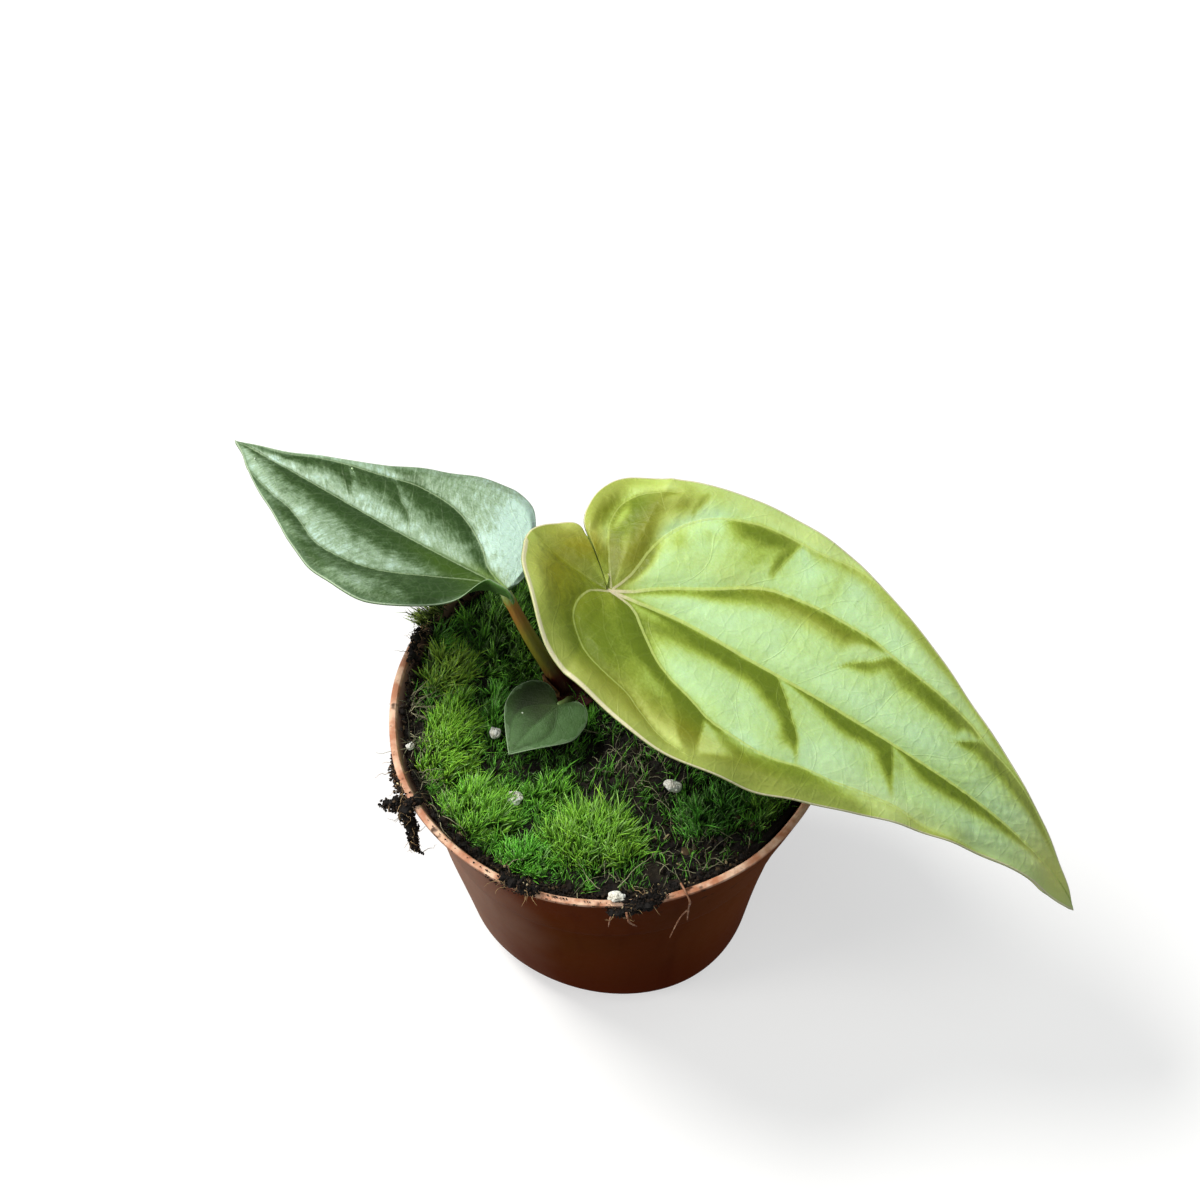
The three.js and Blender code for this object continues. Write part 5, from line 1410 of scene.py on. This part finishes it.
def crumbShapes(place, size, seed, squash):
    # small uneven stones: a 12-cornered ball, each corner pulled in or out, then squashed, turned and scaled;
    # each face joins three corners that lie within longestSide of one another
    longestSide = 1.06
    draw = np.random.default_rng(seed)
    gold = (1 + math.sqrt(5)) / 2
    ball = np.array([(0, s, t * gold) for s in (-1, 1) for t in (-1, 1)], float)
    ball = np.vstack([ball, ball[:, [1, 2, 0]], ball[:, [2, 0, 1]]])
    ball /= np.linalg.norm(ball, axis=1, keepdims=True)
    faces = []
    for i in range(12):
        for j in range(i + 1, 12):
            for k in range(j + 1, 12):
                sides = [np.linalg.norm(ball[a] - ball[b]) for a, b in ((i, j), (j, k), (i, k))]
                if max(sides) < longestSide:
                    outside = np.dot(np.cross(ball[j] - ball[i], ball[k] - ball[i]), ball[i]) > 0
                    faces.append((i, j, k) if outside else (i, k, j))
    faces = np.array(faces)
    count = len(place)
    uneven = draw.uniform(0.65, 1.25, (count, 12, 1))
    shape = ball[None] * uneven * draw.uniform([0.7, 0.7, 0.5], [1.2, 1.2, 0.9], (count, 1, 3))
    shape[..., 2] *= squash
    spin = draw.normal(size=(count, 4))
    spin /= np.linalg.norm(spin, axis=1, keepdims=True)
    w, x, y, z = spin.T
    turns = np.stack([
        np.stack([1 - 2 * (y * y + z * z), 2 * (x * y - z * w), 2 * (x * z + y * w)], -1),
        np.stack([2 * (x * y + z * w), 1 - 2 * (x * x + z * z), 2 * (y * z - x * w)], -1),
        np.stack([2 * (x * z - y * w), 2 * (y * z + x * w), 1 - 2 * (x * x + y * y)], -1),
    ], 1)
    points = place[:, None] + size[:, None, None] * np.einsum("nij,nkj->nki", turns, shape)
    return points.reshape(-1, 3), (faces[None] + np.arange(count)[:, None, None] * 12).reshape(-1, 3)


crumbMaterial = shadeMaterial("barkCrumbs", 0.8, 0.3)
crumbs = {
    "count": 1400, "edge": 27.8, "size": 0.19,
    "tones": ["#0c0704", "#150d08", "#20140c", "#2a1d11", "#080503", "#54442f", "#a08e6c"],
    "toneShares": [0.25, 0.25, 0.2, 0.15, 0.08, 0.05, 0.02], "squash": 0.7,
    # banks against the pot: angles, radii, rise at the outer radius, number, size
    "banks": [
        (158, 238, 26.2, 28.4, 1.3, 950, 0.2), (238, 312, 26.4, 28.5, 1.5, 750, 0.21),
        (272, 286, 27.6, 29.6, 2.4, 240, 0.23), (286, 322, 17, 27, 0.3, 650, 0.27),
        (130, 158, 26, 28.4, 1.4, 220, 0.22),
    ],
    # grit stuck on the collar: angles, heights, number
    "grit": [(237, 256, 43, 46.2, 190), (256, 270, 44.6, 46.2, 30), (206, 236, 45.4, 46.2, 24)],
    "gritSizes": (0.06, 0.22),
    # the collar's outside: radius and height low on it, its slope, and the step in to the lip above a height
    "collar": (28.1, 38.6), "collarSlope": 0.2615, "lipStep": 0.5, "lipHeight": 45.9,
}


def makeCrumbs(values):
    # loose ones all over the mix, banks that rise as share^1.5 towards the pot's wall, and grit on the collar
    draw = np.random.default_rng(91)
    x, y = strewn(draw, values)
    size = values["size"] * np.exp(draw.normal(0, 0.45, values["count"]))
    places, sizes = [np.column_stack([x, y, soilHeight(x, y) + 0.3 * size + 0.05])], [size]
    for angle0, angle1, radius0, radius1, rise, count, middling in values["banks"]:
        share = draw.uniform(0, 1, count)
        angle = np.radians(draw.uniform(angle0, angle1, count))
        radius = radius0 + (radius1 - radius0) * share
        x, y = radius * np.cos(angle), radius * np.sin(angle)
        size = middling * np.exp(draw.normal(0, 0.45, count))
        lumps = 0.25 * ripple(np.column_stack([x, y]), 1.6, 93)
        places.append(np.column_stack([x, y, soilHeight(x, y) + (rise + lumps) * share ** 1.5 + 0.2 * size]))
        sizes.append(size)
    collarRadius, collarHeight = values["collar"]
    for angle0, angle1, low, high, count in values["grit"]:
        angle = np.radians(draw.uniform(angle0, angle1, count))
        height = high - (high - low) * draw.uniform(0, 1, count) ** 1.6
        radius = collarRadius + values["collarSlope"] * (height - collarHeight)
        radius = radius - values["lipStep"] * (height > values["lipHeight"])
        places.append(np.column_stack([radius * np.cos(angle), radius * np.sin(angle), height]))
        sizes.append(draw.uniform(*values["gritSizes"], count))
    place, size = np.vstack(places), np.concatenate(sizes)
    palette = np.array([tint(code)[:3] for code in values["tones"]])
    colours = palette[draw.choice(len(palette), len(place), p=values["toneShares"])]
    points, faces = crumbShapes(place, size, 92, values["squash"])
    mesh = makeMesh("looseCrumbs", points, [faces], {"shade": np.repeat(colours, 12, axis=0)}, smooth=False)
    addPiece("looseCrumbs", mesh, crumbMaterial, "potting_mix")


makeCrumbs(crumbs)


def fibreMesh(name, starts, headings, lengths, width, colours, seed, lift, curl):
    # thin threads that wander over the mix: each step turns a little, and the thread rises and falls as
    # sin(pi t), with a three-cornered ring at each step that narrows towards the end
    draw = np.random.default_rng(seed)
    count, steps = len(starts), 9
    heading = headings[:, None] + np.cumsum(draw.normal(0, curl / 3, (count, steps)), 1)
    stride = (lengths / steps)[:, None]
    x = starts[:, :1] + np.cumsum(stride * np.cos(heading), 1)
    y = starts[:, 1:2] + np.cumsum(stride * np.sin(heading), 1)
    t = np.linspace(0, 1, steps)[None]
    arch = lift * np.sin(np.pi * t) * draw.uniform(0.2, 1.4, (count, 1))
    z = starts[:, 2:3] + arch + 0.12 * draw.normal(size=(count, steps))
    line = np.stack([x, y, z], -1)
    along = np.gradient(line, axis=1)
    along /= np.linalg.norm(along, axis=2, keepdims=True)
    side = np.cross(along, (0, 0, 1.0))
    side /= np.linalg.norm(side, axis=2, keepdims=True)
    up = np.cross(side, along)
    size = (width * (1 - 0.7 * t))[..., None]
    corners = (0, 2.094, 4.189)  # thirds of a turn
    rings = np.stack([line + size * (math.cos(a) * side + math.sin(a) * up) for a in corners], 2)
    points = rings.reshape(-1, 3)
    quads = gridFaces(steps, 3, True)
    lids = np.array([(0, 2, 1), (3 * steps - 3, 3 * steps - 2, 3 * steps - 1)])
    offset = np.arange(count)[:, None, None] * 3 * steps
    faceSets = [(quads[None] + offset).reshape(-1, 4), (lids[None] + offset).reshape(-1, 3)]
    shade = np.repeat(colours, 3 * steps, axis=0)
    return makeMesh(name, points, outward(points, faceSets), {"shade": shade})


fibreMaterial = shadeMaterial("rootFibres", 0.6, 0.4)
fibres = {
    # x, y, half width, number
    "spots": [
        (-26.6, 1, 2.2, 34), (-26.2, -5, 2.2, 40), (-25, -10.5, 2.2, 34), (-22.4, -15, 2.0, 16),
        (2, -25, 4, 20), (9, -21, 5, 40), (14, -19, 4, 24), (3, -7, 5, 50), (7, -10, 4, 26),
        (-22, 12, 4, 40), (0, 0, 26, 60),
    ],
    "length": 3.2, "width": 0.07, "tones": ("#20240f", "#b4b08e"), "lift": 0.7, "curl": 0.5,
    # the farthest a fibre starts from the pot's axis, and how it climbs the bank at the wall
    "farthest": 27.6, "height": 0.25, "climb": 1.1, "climbFrom": (26, 27.8),
}


def makeFibres(values):
    # starts strewn round each spot, pulled in to the wall, on the mix or its bank, mostly heading inwards
    draw = np.random.default_rng(95)
    spots = np.repeat([spot[:3] for spot in values["spots"]], [spot[3] for spot in values["spots"]], axis=0)
    count = len(spots)
    x = spots[:, 0] + spots[:, 2] * draw.normal(0, 0.5, count)
    y = spots[:, 1] + spots[:, 2] * draw.normal(0, 0.5, count)
    far = np.hypot(x, y)
    pull = np.minimum(1, values["farthest"] / np.maximum(far, 0.1))
    x, y = x * pull, y * pull
    climb = values["climb"] * smoothStep(far * pull, *values["climbFrom"])
    starts = np.column_stack([x, y, soilHeight(x, y) + values["height"] + climb])
    low, high = (np.array(tint(code)[:3]) for code in values["tones"])
    colours = low + (high - low) * draw.uniform(0, 1, (count, 1))
    lengths = values["length"] * np.exp(draw.normal(0, 0.4, count))
    width = values["width"] * np.ones((count, 1))
    inward = np.arctan2(-y, -x) + draw.normal(0, 1.3, count)
    lift, curl = values["lift"], values["curl"]
    mesh = fibreMesh("looseFibres", starts, inward, lengths, width, colours, 96, lift, curl)
    addPiece("looseFibres", mesh, fibreMaterial, "root")


makeFibres(fibres)


# Perlite

# centre and half sizes; without a z the grain lies on the mix
grains = {
    "perlite_left": {"x": -15.4, "y": -3.4, "z": 45.6, "size": (0.7, 0.9, 0.6)},
    "perlite_front_left": {"x": -12.6, "y": -13.4, "z": 45.4, "size": (1.0, 0.95, 0.8)},
    "perlite_right": {"x": 8.4, "y": -11.2, "size": (1.05, 0.9, 0.8)},
    "perlite_inner_rim": {"x": -27, "y": -4.9, "size": (0.5, 0.6, 0.45)},
    "perlite_back": {"x": 5, "y": 14.6, "size": (1.1, 0.9, 0.8)},
    "perlite_rim": {"x": 1, "y": -29.0, "z": 46.7, "size": (1.05, 0.65, 0.55)},
}


def makeGrain(node, values, material, seed):
    # a ball swollen by ripples of two sizes, with pits where a third ripple is low
    rows, around = 28, 44
    theta = np.linspace(0, np.pi, rows)[1:-1, None]
    phi = np.linspace(0, 2 * np.pi, around, endpoint=False)[None]
    ball = np.stack([np.sin(theta) * np.cos(phi), np.sin(theta) * np.sin(phi), np.cos(theta) + 0 * phi], -1)
    flat = ball.reshape(-1, 3)
    pits = smoothStep(-ripple(flat, 0.5, seed + 2), 0.6, 1.6)
    swell = 1 + 0.16 * ripple(flat, 2.2, seed) + 0.07 * ripple(flat, 0.9, seed + 1) - 0.16 * pits
    swell = np.clip(swell, 0.6, 1.3)
    onMix = float(soilHeight(values["x"], values["y"])) + 0.3 + 1.1 * values["size"][2]
    place = (values["x"], values["y"], values.get("z", onMix))
    rings = (flat * swell[:, None] * values["size"]).reshape(rows - 2, around, 3) + place
    points, faceSets = ringTube(rings)
    mesh = makeMesh(node + "_grain", points, faceSets, {"pit": np.concatenate([pits, [0, 0]])})
    addPiece(node + "_grain", mesh, material, "perlite", node)


def perlitePaint():
    # white to cream, grey-brown in the pits, with fine pores
    paint = Paint("perliteGrain")
    place = paint.place()
    pores = paint.cells(place, 4200.0)
    hue = paint.noise(place, 800.0, 3.0)
    colour = paint.mix(paint.step(hue, 0.35, 0.7), tint("#fbfbf6"), tint("#dcd8c8"))
    colour = paint.mix(paint.attribute("pit") * 0.7, colour, tint("#8d8470"))
    return paint.finish({
        "Base Color": colour, "Roughness": 0.85, "Normal": paint.bump(pores, 0.7, 0.0002),
        "Specular IOR Level": 0.3,
        "Subsurface Weight": 0.1, "Subsurface Radius": (1.0, 1.0, 0.9), "Subsurface Scale": 0.0003,
    })


perliteMaterial = perlitePaint()
for number, (node, values) in enumerate(grains.items()):
    makeGrain(node, values, perliteMaterial, 101 + 3 * number)
print("perlite made")


# Specks on the leaves

specks = {
    # leaf, u and v on it, size, colour
    "places": [
        (largeLeaf, 33.3, 12.6, 0.3, "#20240f"), (largeLeaf, 33.8, 12.3, 0.16, "#20240f"),
        (largeLeaf, 32.9, 12.9, 0.14, "#20240f"), (middleLeaf, 38, -0.4, 0.16, "#d4e6d0"),
        (middleLeaf, 28.7, -5.2, 0.22, "#c4e0b0"), (middleLeaf, 28.2, -4.9, 0.12, "#c4e0b0"),
        (middleLeaf, 17.8, 2, 0.2, "#dcecc8"), (middleLeaf, 17.2, 2.3, 0.14, "#dcecc8"),
        (middleLeaf, 40.4, 1.5, 0.18, "#d4e6d0"), (middleLeaf, 8.6, 10.6, 0.14, "#d4e6d0"),
        (middleLeaf, 33.4, 3.2, 0.12, "#d4e6d0"), (smallLeaf, 3.8, -2.7, 0.15, "#e4f0dc"),
    ],
    "lift": 0.34, "smallLift": 0.24, "squash": 0.5,
}


def makeSpecks(values):
    # grit and flecks, flattened crumbs lifted clear of the leaves' upper skins
    place = np.vstack([
        leafPoints(leaf, np.array([u]), np.array([v]), values["smallLift" if leaf is smallLeaf else "lift"])
        for leaf, u, v, _, _ in values["places"]
    ])
    size = np.array([entry[3] for entry in values["places"]])
    colours = np.array([tint(entry[4])[:3] for entry in values["places"]])
    points, faces = crumbShapes(place, size, 131, values["squash"])
    mesh = makeMesh("bladeSpecks", points, [faces], {"shade": np.repeat(colours, 12, axis=0)})
    addPiece("bladeSpecks", mesh, crumbMaterial, "potting_mix")


makeSpecks(specks)


# Spilled mix and root fibres on the rim

spillLooks = {
    "tones": ["#0b0705", "#160e09", "#21160e", "#3a281a", "#6a5640", "#b0a080"],
    "toneShares": [0.32, 0.26, 0.2, 0.15, 0.05, 0.02],
    # the core's share of a limb's radius, and a loose limb's share of that; crumbs to a millimetre each way
    "core": 0.62, "looseCore": 0.3, "crumbs": 70, "squash": 0.9,
    "threadTone": "#8a7250", "threadWidth": 0.055, "threadLift": 0.3, "threadCurl": 1.2,
}
# radii stand at even shares of each limb's path
spills = {
    "spill_left": [
        {"path": [
            (-24.6, -13.9, 45.9), (-26.2, -15.1, 46.4), (-26.9, -15.8, 45), (-26.3, -16.2, 42),
            (-26.1, -16.7, 39), (-25.8, -16.9, 37.4), (-25, -17, 36.5),
        ], "radii": [0.6, 0.95, 1.2, 1.05, 0.95, 0.7, 0.2]},
        {"path": [
            (-26.6, -15.2, 45.2), (-28.4, -14.7, 45.2), (-30, -14.5, 45.1),
        ], "radii": [1.3, 1.25, 0.75]},
        {"path": [(-27.4, -13.6, 45.5), (-28.2, -11.6, 45.3), (-28.9, -9.2, 44.9), (-29.3, -6.4, 44.5)],
         "radii": [1.0, 0.9, 0.75, 0.3], "light": 3.0, "loose": True},
    ],
    "spill_upper_left": [
        {"path": [(-27.6, 7.4, 46.5), (-27.2, 9, 47.2), (-26.8, 10.8, 47.4), (-26.6, 12.4, 47.4)],
         "radii": [0.5, 0.7, 0.8, 0.6]},
        {"path": [
            (-26.2, 12.2, 47.2), (-25.2, 11.8, 46), (-24.8, 13.4, 46), (-25.2, 15, 46.2),
        ], "radii": [0.6, 0.7, 0.7, 0.5]},
    ],
    "spill_front_left": [
        {"path": [(-13.7, -26.2, 46.8), (-11.3, -27.7, 46.9), (-9.3, -28.2, 46.7)], "radii": [0.9, 1.2, 0.8]},
    ],
    "spill_front": [
        {"path": [(0.2, -30.4, 45.2), (2, -30.4, 45.5), (4.7, -29.4, 46.1), (7.2, -28.5, 46.7)],
         "radii": [0.6, 1, 1.5, 0.8]},
    ],
}


def makeSpill(node, limbs, seed):
    # a lumpy core along each limb's path, a tube swollen by two sizes of ripple, with crumbs packed round it;
    # gives back the places where threads stick out
    draw = np.random.default_rng(seed)
    places, sizes, lights, cores = [], [], [], []
    steps, around = 60, 20
    for limb in limbs:
        share = np.linspace(0, 1, steps)
        line = splineAt(limb["path"], share)
        radius = radiusAt(limb["radii"], share)
        length = np.linalg.norm(np.diff(line, axis=0), axis=1).sum()
        coreRadii = [spillLooks["core"] * r for r in limb["radii"]]
        rings = tubeRings(limb["path"], coreRadii, max(12, int(length * 5)), around)
        flat = rings.reshape(-1, 3)
        lumps = 1 + 0.3 * ripple(flat, 1.6, seed + 50) + 0.2 * ripple(flat, 0.7, seed + 51)
        middle = np.repeat(rings.mean(1), around, axis=0)
        thin = spillLooks["looseCore"] if limb.get("loose") else 1.0
        uneven = np.clip(lumps, 0.4, 1.8)[:, None]
        cores.append((middle + (flat - middle) * thin * uneven).reshape(rings.shape))
        count = int(length * spillLooks["crumbs"] * radius.mean())
        pick = draw.integers(0, steps, count)
        offset = draw.normal(size=(count, 3))
        offset /= np.linalg.norm(offset, axis=1, keepdims=True)
        offset *= (draw.uniform(0.35, 1, count) * radius[pick])[:, None]
        places.append(line[pick] + offset)
        sizes.append(draw.uniform(0.1, 0.3, count) * np.sqrt(radius[pick]))
        lights.append(np.full(count, limb.get("light", 1.0)))
    place, size = np.vstack(places), np.concatenate(sizes)
    palette = np.array([tint(code)[:3] for code in spillLooks["tones"]])
    colours = palette[draw.choice(len(palette), len(place), p=spillLooks["toneShares"])]
    colours = colours * np.concatenate(lights)[:, None]
    crumbPoints, crumbFaces = crumbShapes(place, size, seed + 1, spillLooks["squash"])
    points, faceSets = joined([ringTube(rings) for rings in cores] + [(crumbPoints, [crumbFaces])])
    corePoints = len(points) - len(crumbPoints)
    shade = np.vstack([np.repeat(palette[:1], corePoints, axis=0), np.repeat(colours, 12, axis=0)])
    mesh = makeMesh(node + "_crumbs", points, faceSets, {"shade": shade}, smooth=False)
    addPiece(node + "_crumbs", mesh, crumbMaterial, "potting_mix", node)
    pick = draw.integers(0, len(place), 20 + len(place) // 40)
    return place[pick]


def makeSpillThreads(starts, values):
    # short threads that stick out of the clumps, in any direction and from dark to pale
    draw = np.random.default_rng(140)
    count = len(starts)
    colours = np.array(tint(values["threadTone"])[:3]) * draw.uniform(0.3, 2.2, (count, 1))
    headings = draw.uniform(0, 2 * np.pi, count)
    lengths = draw.uniform(0.8, 2.8, count)
    width = values["threadWidth"] * np.ones((count, 1))
    lift, curl = values["threadLift"], values["threadCurl"]
    mesh = fibreMesh("spillThreads", starts, headings, lengths, width, colours, 141, lift, curl)
    addPiece("spillThreads", mesh, fibreMaterial, "root")


threadStarts = []
for number, (node, limbs) in enumerate(spills.items()):
    threadStarts.append(makeSpill(node, limbs, 120 + 2 * number))
makeSpillThreads(np.vstack(threadStarts), spillLooks)
print("spills made")

rootThreads = {
    "root_fibre_right": [
        {"path": [
            (9.3, -26.8, 46.6), (10, -28.4, 46.7), (10.5, -29, 45.6), (10.4, -28.7, 43.6),
            (10.3, -28.9, 40.6),
        ],
         "radii": [0.13, 0.14, 0.13, 0.12, 0.06]},
        {"path": [(10.4, -28.7, 43.2), (9.3, -28.9, 41), (8.1, -29.5, 36.8)], "radii": [0.1, 0.09, 0.05]},
    ],
    "root_fibre_front": [
        {"path": [
            (2.3, -31, 46.3), (2.5, -31.6, 45.6), (2.8, -31.6, 44.6), (3.7, -31, 42.6),
        ], "radii": [0.14, 0.14, 0.12, 0.06]},
        {"path": [(0.5, -30.5, 45.2), (0.2, -30.9, 44.2), (0.0, -30.9, 42.2)], "radii": [0.11, 0.1, 0.05]},
    ],
}


def makeRoot(node, limbs, seed):
    # thin tubes whose radius goes up and down as sines of the share of the path
    def swell(share, angle):
        return 1 + 0.18 * np.sin(17 * share + seed) + 0.1 * np.sin(31 * share + 2 * angle)
    rows, around = 44, 10
    tubes = [ringTube(tubeRings(limb["path"], limb["radii"], rows, around, swell)) for limb in limbs]
    mesh = makeMesh(node + "_thread", *joined(tubes))
    addPiece(node + "_thread", mesh, rootMaterial, "root", node)


def rootPaint():
    # brown to pale bands across the thread
    paint = Paint("paleRoot")
    place = paint.place()
    bands = paint.noise(paint.scaled(place, (400, 400, 2200)), 1.0, 3.0)
    colour = paint.ramp(bands, (0.3, tint("#6e4632")), (0.55, tint("#a8785a")), (0.8, tint("#d2ab8c")))
    return paint.finish({
        "Base Color": colour, "Roughness": 0.55, "Normal": paint.bump(bands, 0.4, 0.0001),
        "Specular IOR Level": 0.4,
        "Subsurface Weight": 0.1, "Subsurface Radius": (1.0, 0.6, 0.4), "Subsurface Scale": 0.0003,
    })


rootMaterial = rootPaint()
for number, (node, limbs) in enumerate(rootThreads.items()):
    makeRoot(node, limbs, number)
print("root threads made")


# Stage and light

# metres, degrees and watts; the sweep is the floor's profile: distance from the middle, height
stageSettings = {
    "sweep": [
        (0, 0), (0.6, 0), (1.2, 0), (1.7, 0.09), (2.0, 0.35), (2.2, 0.8), (2.3, 1.6), (2.3, 2.6),
    ], "drop": 0.00005,
    "floorTone": "#b8b8b8", "floorGlow": 0.54, "world": 0.27, "sky": (0.93, 0.97, 1.0), "aim": (0, 0, 0.045),
    # azimuth, elevation, distance, size, power, tone
    "lights": {
        "key": (155, 54, 1.2, 0.4, 13.0, (1.0, 0.98, 0.93)),
        "side": (196, 16, 1.1, 0.4, 5.6, (1.0, 0.95, 0.9)),
        "fill": (-50, 72, 1.2, 0.7, 3.2, (0.97, 1.0, 0.96)),
    },
}


def makeStage(values):
    # a pale floor that curves up into a wall all round; it catches light and shadow and throws none back
    metre = 1000
    around = 96
    angle = np.linspace(0, 2 * np.pi, around, endpoint=False)
    line = splineAt(values["sweep"], np.linspace(0, 1, 60))[1:]
    rings = np.stack([line[:, :1] * np.cos(angle), line[:, :1] * np.sin(angle), line[:, 1:] + 0 * angle], -1)
    points = np.vstack([rings.reshape(-1, 3), [(0, 0, 0)]]) * metre - (0, 0, values["drop"] * metre)
    j = np.arange(around)
    middle = np.column_stack([j, (j + 1) % around, np.full(around, len(points) - 1)])
    mesh = makeMesh("floor", points, [gridFaces(len(line), around, True)[:, ::-1], middle])
    floor = bpy.data.objects.new("floor", mesh)
    scene.collection.objects.link(floor)
    mesh.materials.append(Paint("paleFloor").finish({
        "Base Color": tint(values["floorTone"]), "Roughness": 0.8, "Specular IOR Level": 0.0,
        "Emission Color": (1, 1, 1, 1), "Emission Strength": values["floorGlow"],
    }))
    floor.visible_diffuse = False
    floor.visible_glossy = False
    floor.visible_shadow = False
    target = Vector(values["aim"])
    for name, (azimuth, elevation, distance, size, power, tone) in values["lights"].items():
        data = bpy.data.lights.new(name, "AREA")
        data.shape = "DISK"
        data.size = size
        data.energy = power
        data.color = tone
        item = bpy.data.objects.new(name, data)
        turn, rise = math.radians(azimuth), math.radians(elevation)
        away = Vector((math.cos(rise) * math.cos(turn), math.cos(rise) * math.sin(turn), math.sin(rise)))
        item.location = target + away * distance
        item.rotation_euler = away.to_track_quat("Z", "Y").to_euler()
        scene.collection.objects.link(item)
    world = bpy.data.worlds.new("studio")
    world.use_nodes = True
    background = world.node_tree.nodes["Background"]
    background.inputs["Color"].default_value = values["sky"] + (1,)
    background.inputs["Strength"].default_value = values["world"]
    scene.world = world
    scene.view_settings.view_transform = "Standard"


makeStage(stageSettings)
print("stage lit")

triangles = {
    piece.name: sum(len(face.vertices) - 2 for face in piece.data.polygons)
    for piece in scene.objects if piece.type == "MESH" and piece.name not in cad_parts
}
largest = sorted(triangles.items(), key=lambda pair: -pair[1])[:6]
print("triangles", sum(triangles.values()), "largest", largest)
